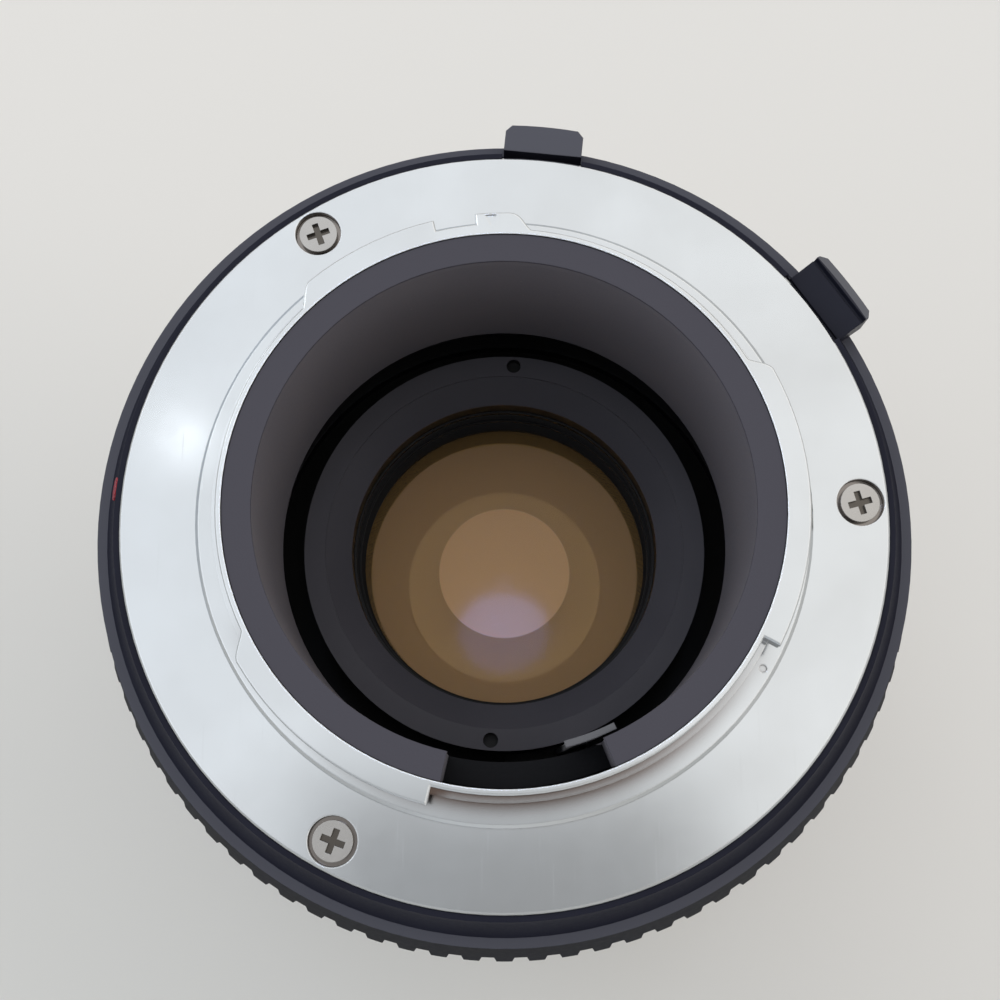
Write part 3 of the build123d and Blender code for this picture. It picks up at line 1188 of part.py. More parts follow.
# Iris housing: relay tube in front, base plate with six pivot holes, cup behind it
with BuildPart() as iris_housing:
    relay_seat_z = IRIS_Z - RELAY_SEAT_T
    with BuildSketch(Plane.XZ):
        with BuildLine():
            Polyline(
                (RELAY_GLASS_R + SEAT, RELAY_TUBE_Z),
                (RELAY_GLASS_R + RELAY_TUBE_WALL, RELAY_TUBE_Z),
                (RELAY_GLASS_R + RELAY_TUBE_WALL, IRIS_Z),
                (IRIS_HOUSING_R, IRIS_Z),
                (IRIS_HOUSING_R, IRIS_HOUSING_TOP_Z),
                (IRIS_WALL_BORE_R, IRIS_HOUSING_TOP_Z),
                (IRIS_WALL_BORE_R, ACTUATOR_Z - 2 * RUN),
                (IRIS_BLADE_BORE_R, ACTUATOR_Z - 2 * RUN),
                (IRIS_BLADE_BORE_R, IRIS_BASE_Z),
                (IRIS_OPENING_R, IRIS_BASE_Z),
                (IRIS_OPENING_R, relay_seat_z),
                (RELAY_GLASS_R + SEAT, relay_seat_z),
                close=True,
            )
        make_face()
    revolve(axis=Axis.Z)
    with Locations(Plane.XY.offset(IRIS_BASE_Z)):
        with PolarLocations(BLADE_PIVOT_R, BLADE_COUNT, BLADE_PIVOT_ANGLE):
            Hole(STUD_R + RUN, depth=STUD_DEPTH + 2 * RUN)
    for angle in IRIS_GRUB_ANGLES:
        add(rod(angle, IRIS_GRUB_Z, IRIS_HOUSING_R - 2 * GRUB_R, IRIS_HOUSING_R + 1,
                GRUB_R + SEAT), mode=Mode.SUBTRACT)
save(iris_housing, "iris_housing")

# Three grub screws that fix the iris housing in the guide barrel
with BuildPart() as iris_grubs:
    for angle in IRIS_GRUB_ANGLES:
        add(rod(angle, IRIS_GRUB_Z, IRIS_HOUSING_R - 2 * GRUB_R + 2 * RUN, GUIDE_CUP_R - 2 * RUN,
                GRUB_R))
save(iris_grubs, "iris_grubs")

# Relay element in front of the iris and its retaining ring, whose opening is the smaller circle
with BuildPart() as relay_element:
    add(lens(RELAY_GLASS_R, relay_seat_z - RELAY_GLASS_T, relay_seat_z, 1.2, -0.6,
             RELAY_STOP_R - SEAT, IRIS_OPENING_R - SEAT))
save(relay_element, "relay_element")

with BuildPart() as relay_retainer:
    add(retaining_ring(RELAY_GLASS_R, RELAY_STOP_R, RELAY_TUBE_Z + RELAY_RING_SINK,
                       relay_seat_z - RELAY_GLASS_T))
save(relay_retainer, "relay_retainer")


def circle_edges(centre, radius):
    """Return the edge of a circle as a list, for the hull of two circles."""
    with BuildSketch(mode=Mode.PRIVATE) as disc:
        with Locations(centre):
            Circle(radius)
    return disc.sketch.edges()


def blade(index):
    """Return one iris blade with its pivot stud below and its drive stud above."""
    sheet_z = BLADE_FIRST_Z + index * BLADE_PITCH_Z
    pivot_angle = BLADE_PIVOT_ANGLE + index * 360 / BLADE_COUNT
    mid_r = (BLADE_INNER_R + BLADE_OUTER_R) / 2
    half_w = (BLADE_OUTER_R - BLADE_INNER_R) / 2
    pivot = circle_edges((BLADE_PIVOT_R, 0), BLADE_TAB_R)
    drive = polar(*drive_stud(0))
    with BuildPart() as leaf:
        with BuildSketch(Plane.XY.offset(sheet_z)):
            with BuildLine():
                outer = CenterArc((0, 0), BLADE_OUTER_R, -BLADE_SPAN, BLADE_SPAN)
                inner = CenterArc((0, 0), BLADE_INNER_R, -BLADE_SPAN, BLADE_SPAN)
                Line(outer @ 0, inner @ 0)
                Line(outer @ 1, inner @ 1)
            make_face()
            with Locations(polar(mid_r, 0), polar(mid_r, -BLADE_SPAN)):
                Circle(half_w)
            make_hull([*circle_edges((mid_r, 0), half_w), *pivot])
            make_hull([*pivot, *circle_edges(drive, STUD_TAB_R)])
        extrude(amount=BLADE_T)
        with BuildSketch(Plane.XY.offset(IRIS_BASE_Z - STUD_DEPTH)):
            with Locations((BLADE_PIVOT_R, 0)):
                Circle(STUD_R)
        extrude(amount=sheet_z + BLADE_T - IRIS_BASE_Z + STUD_DEPTH)
        with BuildSketch(Plane.XY.offset(sheet_z)):
            with Locations(drive):
                Circle(STUD_R)
        extrude(amount=ACTUATOR_TOP_Z - 2 * RUN - sheet_z)
    return Rot(0, 0, pivot_angle) * leaf.part


# Six iris blades, stacked one above the other so that they slide over each other
for index in range(BLADE_COUNT):
    with BuildPart() as iris_blade:
        add(blade(index))
    save(iris_blade, f"iris_blade_{index + 1}")

# Slot of the actuator ring: the path of a drive stud seen from the turning ring
slot_path = []
for share in (0.0, 0.5, 1.0):
    stud_r, stud_angle = drive_stud(share * BLADE_SWING)
    slot_path.append(polar(stud_r, stud_angle + share * LEVER_SWING + BLADE_PIVOT_ANGLE))
with BuildSketch() as stud_slot:
    SlotArc(ThreePointArc(*slot_path), 2 * (STUD_R + RUN))

# Actuator ring with one slot for each blade and the post of the return spring
with BuildPart() as actuator_ring:
    with BuildSketch(Plane.XY.offset(ACTUATOR_Z)):
        Circle(IRIS_WALL_BORE_R - RUN)
        Circle(ACTUATOR_BORE_R, mode=Mode.SUBTRACT)
    extrude(amount=ACTUATOR_T)
    with BuildSketch(Plane.XY.offset(ACTUATOR_Z)):
        with PolarLocations(0, BLADE_COUNT):
            add(stud_slot.sketch)
    extrude(amount=ACTUATOR_T, mode=Mode.SUBTRACT)
    spring_post = polar(LEVER_SPRING_PITCH_R, LEVER_SPRING_ANGLES[0])
    with BuildSketch(Plane.XY.offset(ACTUATOR_TOP_Z)):
        with Locations(spring_post):
            Circle(POST_R)
    extrude(amount=LEVER_SPRING_Z + POST_TIP - ACTUATOR_TOP_Z)
save(actuator_ring, "actuator_ring")

# Aperture lever: a finger that stands on the actuator ring and ends in the baffle's notch
with BuildPart() as aperture_lever:
    add(sector(*LEVER_R, *LEVER_ARM, ACTUATOR_TOP_Z, LEVER_TIP_Z[0]))
    add(sector(*LEVER_R, *LEVER_TIP, *LEVER_TIP_Z))
save(aperture_lever, "aperture_lever")

# Spacer ring that keeps the actuator ring down and carries the rear cell
with BuildPart() as iris_spacer:
    with BuildSketch(Plane.XY.offset(ACTUATOR_TOP_Z + 2 * RUN)):
        Circle(IRIS_WALL_BORE_R - SEAT)
        Circle(IRIS_WALL_BORE_R - SEAT - SPACER_WALL, mode=Mode.SUBTRACT)
    extrude(amount=REAR_FLANGE_Z[0] - ACTUATOR_TOP_Z - 2 * RUN)
save(iris_spacer, "iris_spacer")

# Return spring between a post on the actuator ring and a post under the rear cell
with BuildPart() as lever_spring:
    near = Vector(*polar(LEVER_SPRING_PITCH_R, LEVER_SPRING_ANGLES[0]), LEVER_SPRING_Z)
    far = Vector(*polar(LEVER_SPRING_PITCH_R, LEVER_SPRING_ANGLES[1]), LEVER_SPRING_Z)
    along = (far - near).normalized()
    gap = POST_R + RUN
    wound = coil(LEVER_SPRING_R, LEVER_SPRING_WIRE_R, (far - near).length - 2 * gap,
                 LEVER_SPRING_TURNS)
    add(Plane(near + along * gap, z_dir=along).location * wound)
save(lever_spring, "lever_spring")

# Rear cell: disc with two spanner holes, dished mouth, stepped bore and a slotted flange
with BuildPart() as rear_cell:
    disc_low = REAR_DISC_Z - REAR_DISC_T
    flange_low, flange_high = REAR_FLANGE_Z
    bore = []
    for (radius, top), (_, bottom) in zip(REAR_BORE_STEPS, (*REAR_BORE_STEPS[1:], (0, REAR_SEAT_Z))):
        bore += [(radius, top), (radius, bottom)]
    with BuildSketch(Plane.XZ):
        with BuildLine():
            Polyline(
                (REAR_CAVITY_R, REAR_SPIGOT_Z),
                (REAR_SPIGOT_R, REAR_SPIGOT_Z),
                (REAR_SPIGOT_R, flange_low),
                (REAR_FLANGE_R, flange_low),
                (REAR_FLANGE_R, flange_high),
                (REAR_BODY_R, flange_high),
                (REAR_BODY_R, disc_low - REAR_DISC_TAPER),
                (REAR_DISC_R, disc_low),
                (REAR_DISC_R, REAR_DISC_Z),
                (REAR_DISH_R, REAR_DISC_Z),
                (REAR_DISH_R, REAR_DISC_Z - REAR_DISH_EDGE),
                *bore,
                (REAR_CAVITY_R, REAR_SEAT_Z),
                close=True,
            )
        make_face()
    revolve(axis=Axis.Z)
    with Locations([(*polar(SPANNER_HOLE_PITCH_R, a), REAR_DISC_Z) for a in SPANNER_HOLES]):
        Hole(SPANNER_HOLE_R, depth=SPANNER_HOLE_DEPTH)
    add(sector(LEVER_R[0] - AIR, LEVER_R[1] + AIR, LEVER_ARM[0] - LEVER_SWING - LEVER_SLOT_MARGIN,
               LEVER_ARM[1] + LEVER_SLOT_MARGIN, flange_low - 1, flange_high + 1),
        mode=Mode.SUBTRACT)
    with BuildSketch(Plane.XY.offset(flange_low)):
        with Locations(polar(LEVER_SPRING_PITCH_R, LEVER_SPRING_ANGLES[1])):
            Circle(POST_R)
    extrude(amount=-(flange_low - LEVER_SPRING_Z + POST_TIP))
save(rear_cell, "rear_cell")

# Threaded ring that clamps the rear cell in the iris housing
with BuildPart() as cell_retainer:
    with BuildSketch(Plane.XY.offset(REAR_FLANGE_Z[1])):
        Circle(IRIS_WALL_BORE_R - SEAT)
        Circle(IRIS_WALL_BORE_R - SEAT - RETAINER_WALL, mode=Mode.SUBTRACT)
    extrude(amount=IRIS_HOUSING_TOP_Z - REAR_FLANGE_Z[1])
save(cell_retainer, "cell_retainer")

# Rear element, which sits against the bore's shoulder, and the ring below that holds it there
with BuildPart() as rear_element:
    add(lens(REAR_CAVITY_R - SEAT, REAR_SEAT_Z - REAR_GLASS_T, REAR_SEAT_Z, 0.8, 1.3,
             REAR_RING_R - SEAT, REAR_BORE_STEPS[-1][0] - SEAT))
save(rear_element, "rear_element")

with BuildPart() as rear_retainer:
    rear_glass_low = REAR_SEAT_Z - REAR_GLASS_T
    add(retaining_ring(REAR_CAVITY_R - SEAT, REAR_RING_R, rear_glass_low - REAR_RING_T,
                       rear_glass_low))
save(rear_retainer, "rear_retainer")
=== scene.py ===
"""Looks of a telephoto zoom lens that stands on its front rim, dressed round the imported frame.

Lengths in the classes are millimetres in the lens's own frame: +Z runs along the optical axis
from the front rim to the camera mount. They turn to metres in one place, where a mesh is made.
"""
from __future__ import annotations

import json
import logging
import math
from dataclasses import dataclass, field, replace
from enum import Enum
from typing import ClassVar

import bpy
import numpy as np
from mathutils import Matrix, Vector

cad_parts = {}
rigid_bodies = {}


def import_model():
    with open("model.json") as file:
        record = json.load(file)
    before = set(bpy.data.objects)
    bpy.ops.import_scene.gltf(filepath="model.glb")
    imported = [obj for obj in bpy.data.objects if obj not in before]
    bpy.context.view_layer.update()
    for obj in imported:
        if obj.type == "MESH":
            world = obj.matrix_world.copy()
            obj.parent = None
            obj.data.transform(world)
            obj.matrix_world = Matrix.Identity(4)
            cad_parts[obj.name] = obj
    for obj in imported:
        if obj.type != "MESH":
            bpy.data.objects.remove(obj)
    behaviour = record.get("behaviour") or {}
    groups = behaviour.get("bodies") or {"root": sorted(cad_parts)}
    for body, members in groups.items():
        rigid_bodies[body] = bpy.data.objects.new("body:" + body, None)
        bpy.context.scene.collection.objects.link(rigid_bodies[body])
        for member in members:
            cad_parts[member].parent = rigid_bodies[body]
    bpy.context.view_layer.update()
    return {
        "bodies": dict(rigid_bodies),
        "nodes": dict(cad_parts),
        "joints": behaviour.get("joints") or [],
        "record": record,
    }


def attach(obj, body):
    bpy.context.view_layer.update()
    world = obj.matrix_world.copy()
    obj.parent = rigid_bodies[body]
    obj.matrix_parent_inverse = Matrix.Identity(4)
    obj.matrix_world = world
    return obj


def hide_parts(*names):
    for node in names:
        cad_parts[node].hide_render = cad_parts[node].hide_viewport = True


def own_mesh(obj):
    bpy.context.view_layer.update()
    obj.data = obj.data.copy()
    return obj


LOG = logging.getLogger("lens")
MM = 0.001


class Hue(Enum):
    """Colours as sRGB hex values."""

    CHROME = "C9CDD0"
    CHROME_WORN = "B4B6B7"
    CHROME_EDGE = "E8EAEB"
    # painted shade in the screws' counterbores, below the flange face
    CHROME_GRIME = "7B7672"
    # painted shade in the corner at the spigot's foot on the near side, for its dark reflection
    CORNER_GRIME = "64564F"
    ENAMEL = "191A26"
    ENAMEL_RUB = "2C2E3A"
    # painted sheen of the bright ceiling on level enamel faces
    ENAMEL_LEVEL = "4E4F58"
    # painted sheen on the button's outer lip, for the bright room it faces
    BUTTON_LIP = "58595F"
    # painted shade on the toothed ring's sides between the teeth; its level faces get painted sheen
    RING_SIDE = "101118"
    RING_LEVEL = "4B4D56"
    ANODISED = "17181C"
    ANODISED_RUB = "34353A"
    # the baffle's bore, painted lighter than its crown as painted light in the shaded bore
    BAFFLE = "6A686F"
    BAFFLE_DUST = "7A767A"
    BAFFLE_TOP = "48474F"
    # painted shade: near black in the cell's bore and spanner holes and the lever notch's floor
    PIT = "0B0C10"
    CELL = "403F46"
    CELL_RUB = "4A4950"
    RUBBER = "141415"
    RUBBER_DUST = "2B2A29"
    STEEL = "BEBCB9"
    STEEL_DULL = "85827D"
    SCREW = "ACAAA7"
    # darker below the head face, in the cross recess
    SCREW_GRIME = "57534E"
    # the lever's sides, painted lighter as painted light where the notch shades them
    LEVER = "A8A9AD"
    LEVER_TOP = "56575C"
    BRASS = "B58E4A"
    BRASS_DULL = "8A6A35"
    BLADE = "2E2C2A"
    RED = "B2202E"
    RED_DEEP = "8C1826"
    PAINT_WHITE = "D8D8D2"
    PAINT_ORANGE = "D98A34"
    AMBER = "E6BE8F"
    LAVENDER = "BCC4F8"
    # painted light: the amber veil and bright pupil of the rear glass
    HAZE = "FFCE86"
    # painted light: the relay glass's bright pupil disc
    RELAY_HAZE = "FFE6A8"
    CLEAR = "FAF8F4"
    FLOOR = "DDDBD7"
    # painted shade on the table towards the near left corner
    FLOOR_SHADE = "CDCDCA"


def linear(hue: Hue) -> tuple[float, float, float, float]:
    """Turn an sRGB hex colour to a linear one.

    Args:
        hue: The colour.

    Returns:
        Red, green, blue and alpha.
    """
    parts = [int(hue.value[i:i + 2], 16) / 255 for i in (0, 2, 4)]
    return (*[p / 12.92 if p <= 0.04045 else ((p + 0.055) / 1.055) ** 2.4 for p in parts], 1.0)


def node(tree: bpy.types.NodeTree, kind: str, settings: dict | None = None,
         inputs: dict | None = None) -> bpy.types.Node:
    """Add a node with its settings and links.

    Args:
        tree: The node tree.
        kind: The node's type name.
        settings: Attributes of the node.
        inputs: Socket name or number to a value, or to an output socket that is linked to it.

    Returns:
        The node.
    """
    made = tree.nodes.new(kind)
    for key, value in (settings or {}).items():
        setattr(made, key, value)
    for key, value in (inputs or {}).items():
        socket = made.inputs[key]
        if isinstance(value, bpy.types.NodeSocket):
            tree.links.new(value, socket)
        else:
            socket.default_value = value
    return made


def blank(name: str) -> tuple[bpy.types.Material, bpy.types.NodeTree]:
    """Make a material with an empty node tree.

    Args:
        name: The material's name.

    Returns:
        The material and its tree.
    """
    material = bpy.data.materials.new(name)
    material.use_nodes = True
    material.node_tree.nodes.clear()
    return material, material.node_tree


def from_axis(tree: bpy.types.NodeTree, parts: bpy.types.Node) -> bpy.types.NodeSocket:
    """Work out how far a point lies from the lens's axis.

    Args:
        tree: The node tree.
        parts: The node that separates the point's Object coordinates.

    Returns:
        The distance, in metres.
    """
    flat = node(tree, "ShaderNodeCombineXYZ", None,
                {"X": parts.outputs["X"], "Y": parts.outputs["Y"]})
    length = node(tree, "ShaderNodeVectorMath", {"operation": "LENGTH"}, {0: flat.outputs[0]})
    return length.outputs["Value"]


@dataclass(frozen=True)
class Zone:
    """A part of a surface that takes a hue of its own: painted shade in a recess or corner, painted
    sheen on a top face or a ledge, or a part's own colour.

    It reaches from one height to another, between two distances from the lens's axis, and it
    may keep to the near side, below a Y. Its bounds fade over a ramp.
    """

    hue: Hue
    low: float | None = None
    high: float | None = None
    inner: float | None = None
    outer: float | None = None
    near_y: float | None = None
    level: bool = False
    corner: bool = False
    ramp: float = 0.02
    near_ramp: float = 0.02
    corner_mm: float = 1.6
    # The upward part of a normal from which a face starts to count as level, and counts in full
    level_cut: ClassVar[tuple[float, float]] = (0.95, 0.98)
    # The open share of the sky at which the painted corner shade starts, and at which it is full
    corner_cut: ClassVar[tuple[float, float]] = (0.95, 0.5)
    corner_samples: ClassVar[int] = 8

    def mask(self, tree: bpy.types.NodeTree, height: bpy.types.NodeSocket,
             reach: bpy.types.NodeSocket, along: bpy.types.NodeSocket) -> bpy.types.NodeSocket:
        """Work out where the zone lies.

        Args:
            tree: The node tree.
            height: Height above the front rim.
            reach: Distance from the axis.
            along: The Y coordinate.

        Returns:
            A mask that is 1 inside the zone.
        """
        bounds = ((height, self.low, self.ramp), (height, self.high, -self.ramp),
                  (reach, self.inner, self.ramp), (reach, self.outer, -self.ramp),
                  (along, self.near_y, -self.near_ramp))
        steps = [node(tree, "ShaderNodeMapRange", None,
                      {"Value": value, "From Min": (bound - fade) * MM,
                       "From Max": (bound + fade) * MM})
                 for value, bound, fade in bounds if bound is not None]
        if self.level:
            facing = node(tree, "ShaderNodeSeparateXYZ", None,
                          {0: node(tree, "ShaderNodeNewGeometry").outputs["True Normal"]})
            steps.append(node(tree, "ShaderNodeMapRange", None,
                              {"Value": facing.outputs["Z"], "From Min": self.level_cut[0],
                               "From Max": self.level_cut[1]}))
        if self.corner:
            sky = node(tree, "ShaderNodeAmbientOcclusion", {"samples": self.corner_samples},
                       {"Distance": self.corner_mm * MM}).outputs["AO"]
            steps.append(node(tree, "ShaderNodeMapRange", None,
                              {"Value": sky, "From Min": self.corner_cut[0],
                               "From Max": self.corner_cut[1]}))
        share = steps[0].outputs[0]
        for step in steps[1:]:
            share = node(tree, "ShaderNodeMath", {"operation": "MULTIPLY"},
                         {0: share, 1: step.outputs[0]}).outputs[0]
        return share


@dataclass(frozen=True)
class Finish:
    """A surface finish: what it is made of, how it was made and what the eye sees.

    Pitches, depths and sizes are real ones in millimetres. Turning marks follow the lens's
    axis. Zones are laid over the rest in their order: painted shade in recesses and corners,
    painted sheen on ledges and lips, and faces with a hue of their own.
    """

    name: str
    hue: Hue
    second: Hue
    metallic: float
    roughness: float
    roughness_swing: float = 0.05
    grain_mm: float = 0.4
    grain_bump: float = 0.0
    patch_mm: float = 8.0
    patch_share: float = 0.4
    turning_mm: float = 0.0
    turning_bump: float = 0.0
    scratch_share: float = 0.0
    speck_mm: float = 0.0
    edge_mm: float = 0.1
    edge_hue: Hue | None = None
    edge_share: float = 0.5
    zones: tuple[Zone, ...] = ()
    specular: float = 0.5
    coat: float = 0.0
    # Noise levels between which the second hue comes in, and the roughness swings
    patch_cut: ClassVar[tuple[float, float]] = (0.35, 0.7)
    swing_cut: ClassVar[tuple[float, float]] = (0.7, 1.3)
    # The cosine of an edge's bend at which it starts to look worn, and looks fully worn
    edge_cut: ClassVar[tuple[float, float]] = (0.995, 0.93)
    edge_samples: ClassVar[int] = 4
    # A speck's soft outline as a share of its cell, and how far it covers
    speck_cut: ClassVar[tuple[float, float]] = (0.05, 0.02)
    speck_share: ClassVar[float] = 0.5
    # Scratches: their two directions with the marks in a millimetre across, then along and in
    # depth, the noise levels that they are cut at, and how much rougher they are
    scratch_runs: ClassVar[tuple[tuple[float, float], ...]] = ((0.35, 6.0), (-0.75, 7.5))
    scratch_long: ClassVar[tuple[float, float]] = (0.12, 0.3)
    scratch_cut: ClassVar[tuple[float, float]] = (0.70, 0.78)
    scratch_lift: ClassVar[float] = 0.04
    # One radian counts as this many millimetres, so a mark runs far round before it changes
    radian_mm: ClassVar[float] = 0.6

    def polar(self, tree: bpy.types.NodeTree, place: bpy.types.NodeSocket
              ) -> tuple[bpy.types.NodeSocket, ...]:
        """Turn Object coordinates to the distance from the axis and a vector along the turning.

        Args:
            tree: The node tree.
            place: Object coordinates.

        Returns:
            The height, the distance, the Y coordinate, and a vector of distance, angle and
            height for a pattern.
        """
        parts = node(tree, "ShaderNodeSeparateXYZ", None, {0: place})
        angle = node(tree, "ShaderNodeMath", {"operation": "ARCTAN2"},
                     {0: parts.outputs["Y"], 1: parts.outputs["X"]})
        reach = from_axis(tree, parts)
        along = node(tree, "ShaderNodeMath", {"operation": "MULTIPLY"},
                     {0: angle.outputs[0], 1: self.radian_mm * MM})
        vector = node(tree, "ShaderNodeCombineXYZ", None,
                      {"X": reach, "Y": along.outputs[0], "Z": parts.outputs["Z"]})
        return parts.outputs["Z"], reach, parts.outputs["Y"], vector.outputs[0]

    def scratches(self, tree: bpy.types.NodeTree, place: bpy.types.NodeSocket
                  ) -> bpy.types.NodeSocket:
        """Draw fine handling scratches: noise stretched along two directions and cut high.

        Args:
            tree: The node tree.
            place: Object coordinates.

        Returns:
            A mask that is 1 on a scratch.
        """
        masks = []
        along, deep = self.scratch_long
        for turn, fine in self.scratch_runs:
            frame = node(tree, "ShaderNodeMapping", None,
                         {"Vector": place, "Rotation": (0.0, 0.0, turn),
                          "Scale": (fine / MM, along / MM, deep / MM)})
            noise = node(tree, "ShaderNodeTexNoise", None,
                         {"Vector": frame.outputs[0], "Scale": 1.0, "Detail": 1.0})
            cut = node(tree, "ShaderNodeMapRange", None,
                       {"Value": noise.outputs["Fac"], "From Min": self.scratch_cut[0],
                        "From Max": self.scratch_cut[1]})
            masks.append(cut.outputs[0])
        both = node(tree, "ShaderNodeMath", {"operation": "MAXIMUM"}, {0: masks[0], 1: masks[1]})
        return both.outputs[0]

    def build(self) -> bpy.types.Material:
        """Make the material: the hue, with each layer's hue mixed over it in turn.

        Returns:
            The material, patterned on Object coordinates.
        """
        material, tree = blank(self.name)
        place = node(tree, "ShaderNodeTexCoord").outputs["Object"]
        height, reach, along, turned = self.polar(tree, place)
        grain = node(tree, "ShaderNodeTexNoise", None,
                     {"Vector": place, "Scale": 1 / (self.grain_mm * MM), "Detail": 3.0})
        patch = node(tree, "ShaderNodeTexNoise", None,
                     {"Vector": place, "Scale": 1 / (self.patch_mm * MM), "Detail": 4.0})
        share = node(tree, "ShaderNodeMapRange", None,
                     {"Value": patch.outputs["Fac"], "From Min": self.patch_cut[0],
                      "From Max": self.patch_cut[1], "To Max": self.patch_share})
        layers = [(share.outputs[0], self.second)]
        blend = node(tree, "ShaderNodeMath", {"operation": "ADD"},
                     {0: grain.outputs["Fac"], 1: patch.outputs["Fac"]})
        rough = node(tree, "ShaderNodeMapRange", None,
                     {"Value": blend.outputs[0], "From Min": self.swing_cut[0],
                      "From Max": self.swing_cut[1],
                      "To Min": self.roughness - self.roughness_swing,
                      "To Max": self.roughness + self.roughness_swing}).outputs[0]
        edge = node(tree, "ShaderNodeBevel", {"samples": self.edge_samples},
                    {"Radius": self.edge_mm * MM})
        normal = edge.outputs["Normal"]
        if self.edge_hue:
            true = node(tree, "ShaderNodeNewGeometry").outputs["Normal"]
            bend = node(tree, "ShaderNodeVectorMath", {"operation": "DOT_PRODUCT"},
                        {0: true, 1: normal})
            worn = node(tree, "ShaderNodeMapRange", None,
                        {"Value": bend.outputs["Value"], "From Min": self.edge_cut[0],
                         "From Max": self.edge_cut[1], "To Max": self.edge_share})
            layers.append((worn.outputs[0], self.edge_hue))
        if self.speck_mm:
            dots = node(tree, "ShaderNodeTexVoronoi", None,
                        {"Vector": place, "Scale": 1 / (self.speck_mm * MM)})
            dust = node(tree, "ShaderNodeMapRange", None,
                        {"Value": dots.outputs["Distance"], "From Min": self.speck_cut[0],
                         "From Max": self.speck_cut[1], "To Max": self.speck_share})
            layers.append((dust.outputs[0], Hue.STEEL_DULL))
        if self.scratch_share:
            lines = self.scratches(tree, place)
            weak = node(tree, "ShaderNodeMath", {"operation": "MULTIPLY"},
                        {0: lines, 1: self.scratch_share})
            layers.append((weak.outputs[0], self.second))
            lift = node(tree, "ShaderNodeMath", {"operation": "MULTIPLY"},
                        {0: lines, 1: self.scratch_lift})
            rough = node(tree, "ShaderNodeMath", {"operation": "ADD"},
                         {0: rough, 1: lift.outputs[0]}).outputs[0]
        layers += [(zone.mask(tree, height, reach, along), zone.hue) for zone in self.zones]
        colour = linear(self.hue)
        for share, hue in layers:
            colour = node(tree, "ShaderNodeMix", {"data_type": "RGBA"},
                          {"Factor": share, "A": colour, "B": linear(hue)}).outputs["Result"]
        if self.grain_bump:
            normal = node(tree, "ShaderNodeBump", None,
                          {"Strength": 1.0, "Distance": self.grain_bump * MM,
                           "Height": grain.outputs["Fac"], "Normal": normal}).outputs["Normal"]
        if self.turning_bump:
            marks = node(tree, "ShaderNodeTexNoise", None,
                         {"Vector": turned, "Scale": 1 / (self.turning_mm * MM), "Detail": 2.0})
            normal = node(tree, "ShaderNodeBump", None,
                          {"Strength": 1.0, "Distance": self.turning_bump * MM,
                           "Height": marks.outputs["Fac"], "Normal": normal}).outputs["Normal"]
        shader = node(tree, "ShaderNodeBsdfPrincipled", None,
                      {"Base Color": colour, "Roughness": rough, "Metallic": self.metallic,
                       "Normal": normal, "Coat Weight": self.coat,
                       "Specular IOR Level": self.specular})
        node(tree, "ShaderNodeOutputMaterial", None, {"Surface": shader.outputs[0]})
        return material


@dataclass(frozen=True)
class CoatedGlass:
    """Ground and polished optical glass with an amber coat on both faces.

    The coat's reflection of the room is what shows. The index sets how strong it is; it is
    higher than the glass's own, because the eye sees the reflections of cemented and hidden
    surfaces together with it.
    """

    name: str
    coat: Hue
    strength_ior: float
    tint: Hue = Hue.CLEAR
    roughness: float = 0.06

    def build(self) -> bpy.types.Material:
        """Make the material: clear glass under a coloured mirror that Fresnel weighs.

        Returns:
            The material.
        """
        material, tree = blank(self.name)
        clear = node(tree, "ShaderNodeBsdfTransparent", None, {"Color": linear(self.tint)})
        mirror = node(tree, "ShaderNodeBsdfPrincipled", None,
                      {"Base Color": linear(self.coat), "Metallic": 1.0,
                       "Roughness": self.roughness})
        angle = node(tree, "ShaderNodeFresnel", None, {"IOR": self.strength_ior})
        mixed = node(tree, "ShaderNodeMixShader", None,
                     {0: angle.outputs[0], 1: clear.outputs[0], 2: mirror.outputs[0]})
        node(tree, "ShaderNodeOutputMaterial", None, {"Surface": mixed.outputs[0]})
        return material


